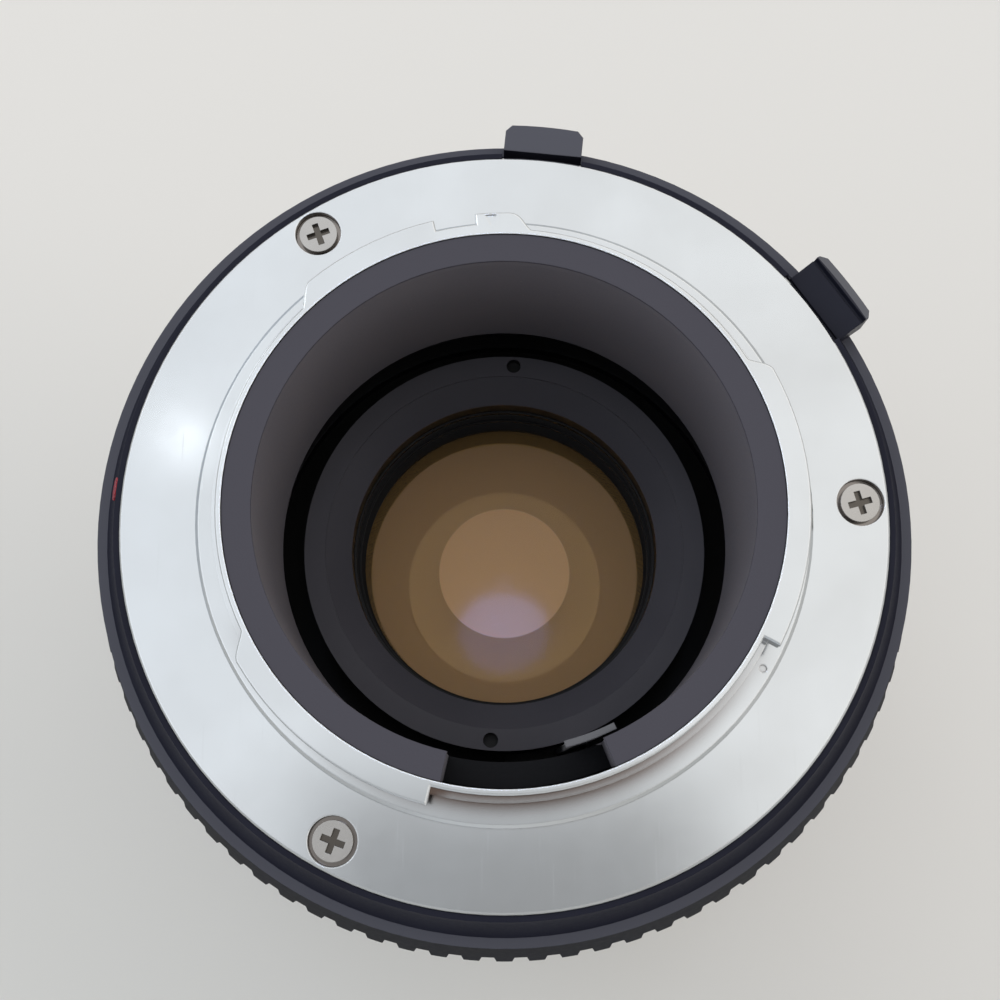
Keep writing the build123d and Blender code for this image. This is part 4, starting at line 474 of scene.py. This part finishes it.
@dataclass(frozen=True)
class VeiledGlass:
    """A glass near the mount: coated, and veiled by the light that scatters inside the lens.

    The veil is painted light: a pale diffuse layer over clear glass. It is thin on the outer face,
    above a height. On the inner face it is thicker, and thickest inside the pupil, the round patch
    through which light passes the whole lens, so the eye sees one disc in another. The coat gives a
    faint reflection.
    """

    name: str
    veil: Hue
    coat: Hue
    outer_share: float
    inner_share: float
    pupil_share: float
    split_z: float
    pupil_r: float = 6.6
    pupil_ramp: float = 0.06
    outer_roughness: float = 0.3
    inner_roughness: float = 0.06
    ior: float = 1.5
    tint: Hue = Hue.CLEAR

    def build(self) -> bpy.types.Material:
        """Make the material: clear glass mixed with a coated veil, by face and distance.

        Returns:
            The material.
        """
        material, tree = blank(self.name)
        place = node(tree, "ShaderNodeTexCoord").outputs["Object"]
        parts = node(tree, "ShaderNodeSeparateXYZ", None, {0: place})
        inside = node(tree, "ShaderNodeMapRange", None,
                      {"Value": from_axis(tree, parts),
                       "From Min": (self.pupil_r + self.pupil_ramp) * MM,
                       "From Max": (self.pupil_r - self.pupil_ramp) * MM,
                       "To Min": self.inner_share, "To Max": self.pupil_share})
        inner = node(tree, "ShaderNodeMath", {"operation": "LESS_THAN"},
                     {0: parts.outputs["Z"], 1: self.split_z * MM})
        share = node(tree, "ShaderNodeMix", None,
                     {"Factor": inner.outputs[0], "A": self.outer_share,
                      "B": inside.outputs[0]})
        rough = node(tree, "ShaderNodeMix", None,
                     {"Factor": inner.outputs[0], "A": self.outer_roughness,
                      "B": self.inner_roughness})
        clear = node(tree, "ShaderNodeBsdfTransparent", None, {"Color": linear(self.tint)})
        veil = node(tree, "ShaderNodeBsdfPrincipled", None,
                    {"Base Color": linear(self.veil), "Roughness": rough.outputs["Result"],
                     "IOR": self.ior, "Specular Tint": linear(self.coat)})
        mixed = node(tree, "ShaderNodeMixShader", None,
                     {0: share.outputs["Result"], 1: clear.outputs[0], 2: veil.outputs[0]})
        node(tree, "ShaderNodeOutputMaterial", None, {"Surface": mixed.outputs[0]})
        return material


# Satin chrome plate on turned brass: pale, slightly blue, a soft mirror with turning marks.
# Painted shade darkens the spigot's foot on the near side and the screws' counterbores
SATIN_CHROME = Finish("satin_chrome_plate", Hue.CHROME, Hue.CHROME_WORN, metallic=1.0,
                      roughness=0.12, roughness_swing=0.01, grain_mm=1.5, patch_mm=9.0,
                      patch_share=0.35, turning_mm=1.5, turning_bump=0.0004,
                      scratch_share=0.06, edge_mm=0.14, edge_hue=Hue.CHROME_EDGE,
                      edge_share=0.8,
                      zones=(Zone(Hue.CHROME_GRIME, high=117.7, ramp=0.2),
                             Zone(Hue.CORNER_GRIME, low=118.5, high=122.6, outer=24.2,
                                  near_y=-14.0, near_ramp=6.0, corner=True)))
# Turned steel screw heads, darker in the cross recess and below the head face
SCREW_STEEL = Finish("turned_screw_steel", Hue.SCREW, Hue.STEEL_DULL, metallic=1.0,
                     roughness=0.26, grain_mm=0.3, edge_mm=0.06,
                     zones=(Zone(Hue.SCREW_GRIME, high=117.7, ramp=0.12),))
# Plain turned steel inside the lens
STEEL = Finish("turned_steel", Hue.STEEL, Hue.STEEL_DULL, metallic=1.0, roughness=0.24,
               grain_mm=0.3)
# Steel lever, dark grey on its top; its sides are painted much lighter as painted light in the notch
LEVER_STEEL = Finish("rubbed_lever_steel", Hue.LEVER, Hue.STEEL_DULL, metallic=0.0,
                     roughness=0.42, roughness_swing=0.06, grain_mm=0.25, patch_mm=1.5,
                     edge_mm=0.12, edge_hue=Hue.STEEL,
                     zones=(Zone(Hue.LEVER_TOP, low=121.0, level=True),))
# Turned brass pins and keys inside the lens: yellow, duller where it has tarnished
BRASS = Finish("turned_brass", Hue.BRASS, Hue.BRASS_DULL, metallic=1.0, roughness=0.3)
# Black stoving enamel on aluminium: blue-black, satin, with a fine orange peel. Level faces
# are painted greyer, a painted sheen of the bright ceiling
ENAMEL = Finish("black_stoving_enamel", Hue.ENAMEL, Hue.ENAMEL_RUB, metallic=0.0,
                roughness=0.4, grain_mm=0.45, grain_bump=0.004, patch_share=0.3,
                edge_mm=0.14, edge_hue=Hue.ENAMEL_RUB, specular=0.15,
                zones=(Zone(Hue.ENAMEL_LEVEL, level=True),))
# The same enamel on the casting's shoulder, worn dull, with its painted sheen on the low ledge
SHOULDER_ENAMEL = replace(ENAMEL, name="worn_shoulder_enamel", roughness=0.5, specular=0.1,
                          zones=(Zone(Hue.ENAMEL_LEVEL, high=115.0, level=True),))
# The same enamel on the button, whose outer lip is painted grey as a painted sheen
BUTTON_ENAMEL = replace(ENAMEL, name="rubbed_button_enamel",
                        zones=(Zone(Hue.BUTTON_LIP, inner=34.15),))
# The same enamel on the toothed ring, painted blacker on its sides as shade between the teeth,
# with a painted sheen on its level faces
RING_ENAMEL = replace(ENAMEL, name="dulled_black_enamel", hue=Hue.RING_SIDE, roughness=0.6,
                      specular=0.05,
                      zones=(Zone(Hue.RING_LEVEL, level=True),))
# Black anodised aluminium, turned: faint rings and a soft sheen
ANODISED = Finish("black_anodised_aluminium", Hue.ANODISED, Hue.ANODISED_RUB, metallic=0.0,
                  roughness=0.42, grain_mm=0.4, patch_share=0.25, turning_mm=0.3,
                  turning_bump=0.003, edge_hue=Hue.ANODISED_RUB, edge_share=0.6)
# Turned cell ring, blackened: flat and dull, with painted shade near black in its bore and
# spanner holes
CELL_BLACK = Finish("dull_black_cell_ring", Hue.CELL, Hue.CELL_RUB, metallic=0.0,
                    roughness=0.55, grain_mm=0.3, patch_share=0.5, edge_mm=0.06,
                    specular=0.3,
                    zones=(Zone(Hue.PIT, high=100.3), Zone(Hue.PIT, high=102.3, inner=16.4)))
# Blackened baffle, dead matt so that it throws no light on the film, with specks of dust. Its
# bore is painted lighter than its crown as painted light, and its notch floor black as shade
BAFFLE = Finish("matt_black_baffle", Hue.BAFFLE, Hue.BAFFLE_DUST, metallic=0.0,
                roughness=0.62, roughness_swing=0.06, grain_mm=0.2, grain_bump=0.008,
                patch_mm=9.0, patch_share=0.25, speck_mm=2.4, edge_hue=Hue.BAFFLE_DUST,
                specular=0.12,
                zones=(Zone(Hue.PIT, high=119.2, inner=18.9, near_y=-18.0),
                       Zone(Hue.BAFFLE_TOP, low=123.2)))
# Moulded rubber grips with dust in the grooves
RUBBER = Finish("moulded_rubber", Hue.RUBBER, Hue.RUBBER_DUST, metallic=0.0, roughness=0.6,
                roughness_swing=0.06, grain_mm=0.3, grain_bump=0.012, patch_share=0.4,
                edge_hue=Hue.RUBBER_DUST)
# The mounting bead: a drop of glossy red enamel, deeper in patches
RED_BEAD = Finish("red_enamel_bead", Hue.RED, Hue.RED_DEEP, metallic=0.0, roughness=0.25,
                  roughness_swing=0.03, patch_mm=1.0, coat=0.4)
# Blackened spring steel blades, dry and slightly glossy
BLADE_STEEL = Finish("blackened_spring_steel", Hue.BLADE, Hue.ANODISED_RUB, metallic=0.6,
                     roughness=0.42, grain_mm=0.2, edge_mm=0.03)
# Paint wiped into engraved marks: matt, a little uneven
WHITE_FILL = Finish("white_engraving_paint", Hue.PAINT_WHITE, Hue.STEEL, metallic=0.0,
                    roughness=0.6, grain_mm=0.15, patch_mm=1.2, edge_mm=0.02)
ORANGE_FILL = replace(WHITE_FILL, name="orange_engraving_paint", hue=Hue.PAINT_ORANGE,
                      second=Hue.BRASS)

# The glasses deep in the lens and at its front: clear, with an amber mirror on both faces
AMBER_GLASS = CoatedGlass("amber_coated_glass", Hue.AMBER, strength_ior=2.0)
# The rear glass: a veil of amber painted light, brightest in the round pupil, and a lavender window
# in it
REAR_GLASS = VeiledGlass("rear_coated_glass", Hue.HAZE, Hue.LAVENDER, outer_share=0.14,
                         inner_share=0.38, pupil_share=0.97, split_z=90.0)
# The relay glass behind it, its pupil of painted light seen as the second disc; all of it lies
# below its split
RELAY_GLASS = VeiledGlass("relay_coated_glass", Hue.RELAY_HAZE, Hue.AMBER, outer_share=0.0,
                          inner_share=0.0, pupil_share=0.97, split_z=200.0, pupil_r=10.3,
                          inner_roughness=0.3)

BY_SLOT = {
    "bright_metal": SATIN_CHROME, "steel": STEEL, "brass": BRASS, "black_enamel": ENAMEL,
    "black_anodised": ANODISED, "black_plastic": BAFFLE, "rubber": RUBBER,
    "red_paint": RED_BEAD, "blade_steel": BLADE_STEEL, "coated_glass": AMBER_GLASS,
}
BY_NODE = {
    "mount_screws": SCREW_STEEL, "aperture_lever": LEVER_STEEL, "rear_cell": CELL_BLACK,
    "rear_element": REAR_GLASS, "relay_element": RELAY_GLASS, "aperture_ring": RING_ENAMEL,
    "rear_housing": SHOULDER_ENAMEL, "dof_button": BUTTON_ENAMEL,
}


def grid_mesh(name: str, points: np.ndarray, wrap: tuple[bool, bool],
              unit: float = MM) -> bpy.types.Mesh:
    """Make a mesh from a grid of points, one quad for each cell.

    Args:
        name: The mesh's name.
        points: Millimetres, rows by columns by three.
        wrap: Whether the last row joins the first, and the last column the first.
        unit: What the points are multiplied by.

    Returns:
        The mesh, in metres unless another unit is given. An open end is closed by one face.
    """
    rows, columns = points.shape[:2]
    row = np.arange(rows if wrap[0] else rows - 1)
    column = np.arange(columns if wrap[1] else columns - 1)
    low, left = np.meshgrid(row, column, indexing="ij")
    up, right = (low + 1) % rows, (left + 1) % columns
    quads = np.stack([low * columns + left, low * columns + right,
                      up * columns + right, up * columns + left], axis=-1).reshape(-1, 4)
    faces = quads.tolist()
    if not wrap[0]:
        last = (rows - 1) * columns
        faces += [list(range(columns))[::-1], list(range(last, last + columns))]
    mesh = bpy.data.meshes.new(name)
    mesh.from_pydata((points.reshape(-1, 3) * unit).tolist(), [], faces)
    mesh.validate()
    return mesh


def piece(name: str, mesh: bpy.types.Mesh, body: str, finish: bpy.types.Material) -> bpy.types.Object:
    """Put a mesh in the scene as one piece of a body.

    Args:
        name: The piece's name.
        mesh: Its mesh, already in place.
        body: The body that it moves with.
        finish: Its material.

    Returns:
        The object, at the origin.
    """
    made = bpy.data.objects.new(name, mesh)
    bpy.context.scene.collection.objects.link(made)
    mesh.materials.append(finish)
    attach(made, body)
    LOG.info("%s rides on %s", name, body)
    return made


@dataclass
class Thread:
    """A fine internal thread: a triangular ridge that winds up inside a bore."""

    name: str
    body: str
    slot: str
    bore_r: float
    depth: float
    pitch: float
    low: float
    high: float
    sink: float = 0.06
    steps_per_turn: int = 120
    run_out: float = 0.12
    tip_share: float = 0.02

    def points(self) -> np.ndarray:
        """Work out the ridge.

        At each step the section is a triangle: two root points just inside the bore's wall, half
        a pitch apart, and a crest that stands in towards the axis by the depth. The section
        climbs one pitch a turn, and the crest fades to the wall over a short run at both ends.

        Returns:
            Rows along the helix by the section's three points.
        """
        turns = (self.high - self.low) / self.pitch - 0.5
        count = int(turns * self.steps_per_turn) + 1
        along = np.linspace(0, turns, count)
        fade = np.clip(np.minimum(along, turns - along) / self.run_out, self.tip_share, 1.0)
        angle = 2 * np.pi * along
        root = np.full(count, self.bore_r + self.sink)
        reach = np.stack([root, self.bore_r - self.depth * fade, root], axis=1)
        height = (self.low + self.pitch * along)[:, None] + self.pitch * np.array([0, 0.25, 0.5])
        return np.stack([reach * np.cos(angle)[:, None], reach * np.sin(angle)[:, None],
                         height], axis=-1)

    def build(self, finish: bpy.types.Material) -> bpy.types.Object:
        """Make the ridge in its finish."""
        mesh = grid_mesh(self.name, self.points(), (False, True))
        return piece(self.name, mesh, self.body, finish)


@dataclass
class Spring:
    """The coil spring behind a button; the real one shortens as the button goes in, this one keeps
    its rest length.
    """

    node: str
    joint: str
    angle: float
    inner_r: float = 24.95
    length: float = 3.6
    height: float = 113.54
    coil_r: float = 0.85
    wire_r: float = 0.14
    turns: int = 4
    travel: float = 0.8
    steps_per_turn: int = 24
    sides: int = 10

    def across(self, out: np.ndarray, side: np.ndarray, up: np.ndarray) -> np.ndarray:
        """Turn the spring's own directions to the lens's frame.

        Args:
            out: Distances from the lens's axis, along the spring's axis.
            side: Distances beside the spring's axis.
            up: Heights.

        Returns:
            Points.
        """
        angle = math.radians(self.angle)
        return np.stack(np.broadcast_arrays(out * math.cos(angle) - side * math.sin(angle),
                                            out * math.sin(angle) + side * math.cos(angle),
                                            up), axis=-1)

    def points(self) -> np.ndarray:
        """Work out the wound wire.

        The wire's middle winds round the spring's axis, which points away from the lens's
        axis, and moves outwards evenly from one end to the other. The section is a circle in
        the plane of the spring's axis and the spoke to the wire.

        Returns:
            Rows along the wire by columns round it.
        """
        steps = self.turns * self.steps_per_turn + 1
        turn = np.linspace(0, 2 * np.pi * self.turns, steps)[:, None]
        ring = np.linspace(0, 2 * np.pi, self.sides, endpoint=False)[None, :]
        run = self.length - 2 * self.wire_r
        out = self.inner_r + self.wire_r + run * turn / turn[-1] - self.wire_r * np.sin(ring)
        spoke = self.coil_r + self.wire_r * np.cos(ring)
        return self.across(out, spoke * np.cos(turn), self.height + spoke * np.sin(turn))

    def build(self, finish: bpy.types.Material) -> bpy.types.Object:
        """Make the spring, which stands for the CAD one and keeps its rest length.

        Args:
            finish: Its material.

        Returns:
            The piece.
        """
        mesh = grid_mesh(self.node + "_coil", self.points(), (False, True))
        made = piece(self.node + "_coil", mesh, "barrel", finish)
        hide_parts(self.node)
        axis = self.across(np.array(1.0), np.array(0.0), np.array(0.0))
        anchor = self.across(np.array(self.inner_r), np.array(0.0), np.array(self.height))
        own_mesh(made)
        return made


# The filter thread in the front rim, and the threads of the rear cell's bore
THREADS = (
    (Thread("filter_thread", "front", "black_anodised", bore_r=27.5, depth=0.42, pitch=0.75,
            low=0.9, high=5.9), ANODISED),
    (Thread("cell_thread_upper", "barrel", "black_anodised", bore_r=13.8, depth=0.12, pitch=0.5,
            low=96.5, high=98.3), CELL_BLACK),
    (Thread("cell_thread_lower", "barrel", "black_anodised", bore_r=13.6, depth=0.12, pitch=0.5,
            low=93.0, high=96.1), CELL_BLACK),
)
# The springs behind the two buttons, each at its button's angle
SPRINGS = (
    Spring("release_spring", "release_press", angle=84.0),
    Spring("dof_spring", "dof_press", angle=34.5),
)


@dataclass
class Mark:
    """One paint-filled mark on a ring: a number, or a bar when the text is empty."""

    name: str
    body: str
    text: str
    angle: float
    height: float
    radius: float
    size: float = 1.9
    width: float = 0.45
    lean: float = 0.0
    fill: Finish = WHITE_FILL
    stand: float = 0.02
    # A font's size over the height of its numbers, and the points along a bar
    font_scale: ClassVar[float] = 1.35
    bar_points: ClassVar[int] = 9

    def flat(self) -> tuple[np.ndarray, list]:
        """Draw the mark on a flat sheet, centred, in millimetres.

        Returns:
            Points and faces; the third coordinate is -1 under the paint and 1 on top of it.
        """
        if not self.text:
            across = np.array([-0.5, 0.5, 0.5, -0.5]) * self.width
            up = np.linspace(-0.5, 0.5, self.bar_points)[:, None] * self.size
            stand = np.array([-1.0, -1.0, 1.0, 1.0])
            grid = np.stack(np.broadcast_arrays(across, up, stand), axis=-1)
            mesh = grid_mesh(self.name, grid, (False, True), 1.0)
        else:
            curve = bpy.data.curves.new(self.name, "FONT")
            curve.body = self.text
            curve.size = self.size * self.font_scale
            curve.align_x = "CENTER"
            curve.extrude = 1.0
            curve.resolution_u = 4
            drawn = bpy.data.objects.new(self.name, curve)
            bpy.context.scene.collection.objects.link(drawn)
            bpy.context.view_layer.update()
            mesh = bpy.data.meshes.new_from_object(
                drawn.evaluated_get(bpy.context.evaluated_depsgraph_get()))
            bpy.data.objects.remove(drawn)
            bpy.data.curves.remove(curve)
        points = np.empty(len(mesh.vertices) * 3)
        mesh.vertices.foreach_get("co", points)
        faces = [list(face.vertices) for face in mesh.polygons]
        bpy.data.meshes.remove(mesh)
        points = points.reshape(-1, 3)
        if self.text:
            points[:, 1] -= (points[:, 1].max() + points[:, 1].min()) / 2
        return points, faces

    def wrapped(self, points: np.ndarray) -> np.ndarray:
        """Bend the flat mark round its ring.

        The sheet's x runs round the ring and its y towards the front, so that the mark reads
        upright from behind the camera. Its third coordinate becomes a stand-off from the ring's
        surface, whose radius shrinks by the lean for each millimetre towards the mount.

        Args:
            points: The flat mark.

        Returns:
            Points in the lens's frame.
        """
        height = self.height - points[:, 1]
        surface = self.radius - self.lean * (height - self.height)
        angle = math.radians(self.angle) - points[:, 0] / self.radius
        reach = surface + self.stand * points[:, 2]
        return np.stack([reach * np.cos(angle), reach * np.sin(angle), height], axis=1)

    def build(self, finish: bpy.types.Material) -> bpy.types.Object:
        """Make the mark as one thin closed solid of paint.

        Args:
            finish: Its material.

        Returns:
            The piece.
        """
        points, faces = self.flat()
        mesh = bpy.data.meshes.new(self.name)
        mesh.from_pydata((self.wrapped(points) * MM).tolist(), [], faces)
        mesh.validate()
        return piece(self.name, mesh, self.body, finish)


@dataclass
class Scales:
    """Every mark on the lens: aperture numbers, zoom and focus scales and their index lines."""

    index_angle: float = 120.0
    stops: tuple[str, ...] = ("4", "5.6", "8", "11", "16", "22")
    aperture_turn: float = 50.0
    sleeve_r: float = 33.6
    stops_z: float = 96.9
    zoom_turn: float = 70.0
    zooms: tuple[int, ...] = (70, 85, 105, 135, 150)
    collar_r: float = 32.8
    zoom_z: float = 82.45
    focus_turn: float = 200.0
    nearest_m: float = 1.2
    metres: tuple[float, ...] = (1.2, 1.5, 2, 3, 5, 10)
    metres_z: float = 47.9
    feet: tuple[int, ...] = (4, 5, 7, 10, 15, 30)
    feet_z: float = 45.0
    foot_m: float = 0.3048
    trim_r: float = 32.4

    def zoom_marks(self) -> list[Mark]:
        """Place the focal lengths; the carriage moves in step with their logarithm.

        Returns:
            The marks.
        """
        lengths = np.log(np.array(self.zooms))
        turns = (lengths - lengths[0]) / (lengths[-1] - lengths[0]) * self.zoom_turn
        return [Mark(f"zoom_mark_{number}", "zoom", str(number), self.index_angle - turn,
                     self.zoom_z, self.collar_r, size=1.8)
                for number, turn in zip(self.zooms, turns)]

    def stop_marks(self) -> list[Mark]:
        """Place the aperture numbers on the fixed sleeve, evenly over the ring's turn."""
        step = self.aperture_turn / (len(self.stops) - 1)
        return [Mark("stop_mark_" + number.replace(".", "_"), "barrel", number,
                     self.index_angle + k * step, self.stops_z, self.sleeve_r, size=2.1)
                for k, number in enumerate(self.stops)]

    def focus_marks(self) -> list[Mark]:
        """Place the distances: the ring turns in proportion to one over the distance.

        Returns:
            The marks, metres first.
        """
        rows = [(f"metre_mark_{k}", f"{value:g}", value, self.metres_z, WHITE_FILL)
                for k, value in enumerate(self.metres)]
        rows += [(f"foot_mark_{k}", str(value), value * self.foot_m, self.feet_z, ORANGE_FILL)
                 for k, value in enumerate(self.feet)]
        return [Mark(name, "focus", text,
                     self.index_angle - self.focus_turn * min(1.0, self.nearest_m / distance),
                     height, self.collar_r, size=1.9, fill=fill)
                for name, text, distance, height, fill in rows]

    def index_marks(self) -> list[Mark]:
        """Place the index lines that the scales are read against."""
        angle = self.index_angle
        return [
            Mark("zoom_index", "barrel", "", angle, height=86.6, radius=33.16, size=3.4,
                 width=0.5, lean=-0.08),
            Mark("stop_index", "aperture", "", angle, height=101.27, radius=34.47, size=0.9,
                 width=0.6, lean=-0.92, stand=0.06),
            Mark("focus_index", "barrel", "", angle, height=50.85, radius=self.trim_r,
                 size=1.3, width=0.5),
            Mark("focus_far", "focus", "", angle, self.metres_z, self.collar_r, size=1.5,
                 width=0.4),
        ]

    def build(self, finishes: "Wardrobe") -> None:
        """Make all marks.

        Args:
            finishes: Where the paints come from.
        """
        for mark in (*self.zoom_marks(), *self.stop_marks(), *self.focus_marks(),
                     *self.index_marks()):
            mark.build(finishes.material(mark.fill))


@dataclass
class Wardrobe:
    """Holds each finish's material, made once."""

    made: dict[str, bpy.types.Material] = field(default_factory=dict)

    def material(self, finish: Finish | CoatedGlass | VeiledGlass) -> bpy.types.Material:
        """Return the material of a finish.

        Args:
            finish: The finish.

        Returns:
            Its material.
        """
        if finish.name not in self.made:
            self.made[finish.name] = finish.build()
        return self.made[finish.name]


@dataclass
class Dresser:
    """Gives every CAD node its finish."""

    frame: dict
    finishes: Wardrobe

    def build(self) -> None:
        """Dress each node by its name, or else by its slot in the record."""
        for part in self.frame["record"]["subparts"]:
            target = self.frame["nodes"][part["node"]]
            finish = BY_NODE.get(part["node"], BY_SLOT[part["material_slot"]])
            material = self.finishes.material(finish)
            for index in range(len(target.material_slots)):
                target.material_slots[index].link = "OBJECT"
                target.material_slots[index].material = material
            LOG.info("%s dressed as %s", target.name, material.name)


class Face(Enum):
    """The outline of a lamp's face."""

    OBLONG = "RECTANGLE"
    OVAL = "ELLIPSE"


@dataclass
class Studio:
    """Pale table, soft daylight and the photograph's camera."""

    camera_mm: tuple[float, float, float] = (0.1, -20.9, 220.8)
    forward: tuple[float, float, float] = (-0.004, 0.214, -1.0)
    focal_px: float = 1326.3
    image_px: float = 1000.0
    sensor_mm: float = 36.0
    near_clip_m: float = 0.01
    far_clip_m: float = 20.0
    floor_half_m: float = 3.0
    floor_slant: tuple[float, float, float] = (-0.6, -0.9, 0.0)
    floor_fade_m: tuple[float, float] = (-0.04, 0.1)
    floor_grain_mm: float = 14.0
    floor_rough: tuple[float, float] = (0.6, 0.75)
    lens_top_m: float = 0.118
    lamps_at_m: float = 1.6
    # The brightness of walls and ceiling, then the ceiling's dim parts: how bright each is, and
    # the directions between which it comes in
    horizon: float = 0.85
    sky: float = 1.28
    strip_dim: float = 0.5
    strip_across: tuple[float, float] = (0.2, 0.1)
    strip_along: tuple[float, float] = (0.05, -0.05)
    near_dim: float = 0.45
    near_across: tuple[float, float] = (0.8, 0.45)
    near_along: tuple[float, float] = (-0.12, -0.4)
    walls_end: tuple[float, float] = (0.1, 0.5)
    tone_across: tuple[float, float] = (-0.6, 0.6)
    cool: tuple[float, float, float, float] = (0.95, 0.985, 1.03, 1.0)
    warm: tuple[float, float, float, float] = (1.03, 1.0, 0.96, 1.0)

    def camera(self) -> None:
        """Place the camera where the photograph was taken from."""
        data = bpy.data.cameras.new("camera")
        data.sensor_width = self.sensor_mm
        data.lens = self.focal_px / self.image_px * self.sensor_mm
        data.clip_start = self.near_clip_m
        data.clip_end = self.far_clip_m
        camera = bpy.data.objects.new("camera", data)
        bpy.context.scene.collection.objects.link(camera)
        forward = Vector(self.forward).normalized()
        right = forward.cross(Vector((0, 1, 0))).normalized()
        up = right.cross(forward)
        turn = Matrix((right, up, -forward)).transposed().to_4x4()
        camera.matrix_world = Matrix.Translation(Vector(self.camera_mm) * MM) @ turn
        bpy.context.scene.camera = camera

    def floor(self) -> None:
        """Lay the pale table under the lens, with painted shade towards the near left corner."""
        half = self.floor_half_m
        mesh = bpy.data.meshes.new("table_top")
        mesh.from_pydata([(-half, -half, 0), (half, -half, 0), (half, half, 0), (-half, half, 0)],
                         [], [(0, 1, 2, 3)])
        top = bpy.data.objects.new("table_top", mesh)
        bpy.context.scene.collection.objects.link(top)
        material, tree = blank("pale_table")
        place = node(tree, "ShaderNodeTexCoord").outputs["Object"]
        slant = node(tree, "ShaderNodeVectorMath", {"operation": "DOT_PRODUCT"},
                     {0: place, 1: self.floor_slant})
        near = node(tree, "ShaderNodeMapRange", {"interpolation_type": "SMOOTHSTEP"},
                    {"Value": slant.outputs["Value"], "From Min": self.floor_fade_m[0],
                     "From Max": self.floor_fade_m[1]})
        grain = node(tree, "ShaderNodeTexNoise", None,
                     {"Vector": place, "Scale": 1 / (self.floor_grain_mm * MM), "Detail": 5.0})
        rough = node(tree, "ShaderNodeMapRange", None,
                     {"Value": grain.outputs["Fac"], "To Min": self.floor_rough[0],
                      "To Max": self.floor_rough[1]})
        colour = node(tree, "ShaderNodeMix", {"data_type": "RGBA"},
                      {"Factor": near.outputs[0], "A": linear(Hue.FLOOR),
                       "B": linear(Hue.FLOOR_SHADE)})
        shader = node(tree, "ShaderNodeBsdfPrincipled", None,
                      {"Base Color": colour.outputs["Result"], "Roughness": rough.outputs[0]})
        node(tree, "ShaderNodeOutputMaterial", None, {"Surface": shader.outputs[0]})
        mesh.materials.append(material)

    def lamp(self, name: str, towards: tuple[float, float, float], size: tuple[float, float],
             radiance: float, colour: tuple[float, float, float],
             face: Face = Face.OBLONG) -> None:
        """Hang a soft lamp that faces the lens mount.

        Args:
            name: The lamp's name.
            towards: Its direction from the mount.
            size: Its width and height, in metres.
            radiance: How bright its face is.
            colour: Its light's colour.
            face: Its outline.
        """
        data = bpy.data.lights.new(name, "AREA")
        data.shape = face.value
        data.size, data.size_y = size
        data.energy = radiance * math.pi * size[0] * size[1]
        data.color = colour
        lamp = bpy.data.objects.new(name, data)
        bpy.context.scene.collection.objects.link(lamp)
        away = Vector(towards).normalized() * self.lamps_at_m
        lamp.location = Vector((0, 0, self.lens_top_m)) + away
        lamp.rotation_mode = "QUATERNION"
        lamp.rotation_quaternion = (-away).to_track_quat("-Z", "Y")

    def world(self) -> None:
        """Fill the room with soft light from pale walls all round and a bright ceiling.

        It is cool on the left and warm on the right, and the near side is dimmer.
        """
        world = bpy.data.worlds.new("room")
        world.use_nodes = True
        tree = world.node_tree
        back = tree.nodes["Background"]
        way = node(tree, "ShaderNodeTexCoord").outputs["Generated"]
        parts = node(tree, "ShaderNodeSeparateXYZ", None, {0: way})
        across, along, up = parts.outputs
        aside = node(tree, "ShaderNodeMath", {"operation": "ABSOLUTE"}, {0: across}).outputs[0]
        strip_wide, strip_tall, near_wide, near_tall, overhead, rightward = [
            node(tree, "ShaderNodeMapRange", {"interpolation_type": "SMOOTHSTEP"},
                 {"Value": value, "From Min": start, "From Max": end}).outputs[0]
            for value, (start, end) in (
                (aside, self.strip_across), (along, self.strip_along), (aside, self.near_across),
                (along, self.near_along), (up, self.walls_end), (across, self.tone_across))]
        # A narrow strip overhead is dim, and a broad one lower down on the near side
        level = self.sky
        for wide, tall, dim in ((strip_wide, strip_tall, self.strip_dim),
                                (near_wide, near_tall, self.near_dim)):
            hidden = node(tree, "ShaderNodeMath", {"operation": "MULTIPLY"}, {0: wide, 1: tall})
            level = node(tree, "ShaderNodeMix", None,
                         {"Factor": hidden.outputs[0], "A": level, "B": dim}).outputs["Result"]
        level = node(tree, "ShaderNodeMix", None,
                     {"Factor": overhead, "A": self.horizon, "B": level}).outputs["Result"]
        tree.links.new(level, back.inputs["Strength"])
        tone = node(tree, "ShaderNodeMix", {"data_type": "RGBA"},
                    {"Factor": rightward, "A": self.cool, "B": self.warm})
        tree.links.new(tone.outputs["Result"], back.inputs["Color"])
        bpy.context.scene.world = world

    def build(self) -> None:
        """Make the whole studio."""
        self.camera()
        self.floor()
        self.world()
        self.lamp("window", towards=(-0.62, 0.45, 0.62), size=(0.5, 0.5), radiance=2.0,
                  colour=(0.93, 0.97, 1.0))
        self.lamp("window_gap", towards=(-0.26, 0.26, 0.97), size=(0.025, 0.04), radiance=3.2,
                  colour=(0.95, 0.98, 1.0))
        self.lamp("skylight", towards=(0.0, 0.224, 1.0), size=(0.14, 0.13), radiance=6.5,
                  colour=(0.55, 0.66, 1.0), face=Face.OVAL)
        bpy.context.scene.view_settings.view_transform = "Standard"
        LOG.info("studio ready")


def main() -> None:
    """Build the scene in order."""
    logging.basicConfig(level=logging.INFO, format="%(name)s: %(message)s")
    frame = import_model()
    Studio().build()
    finishes = Wardrobe()
    Dresser(frame, finishes).build()
    for thread, finish in THREADS:
        thread.build(finishes.material(finish))
    for spring in SPRINGS:
        spring.build(finishes.material(STEEL))
    Scales().build(finishes)


if __name__ == "__main__":
    main()
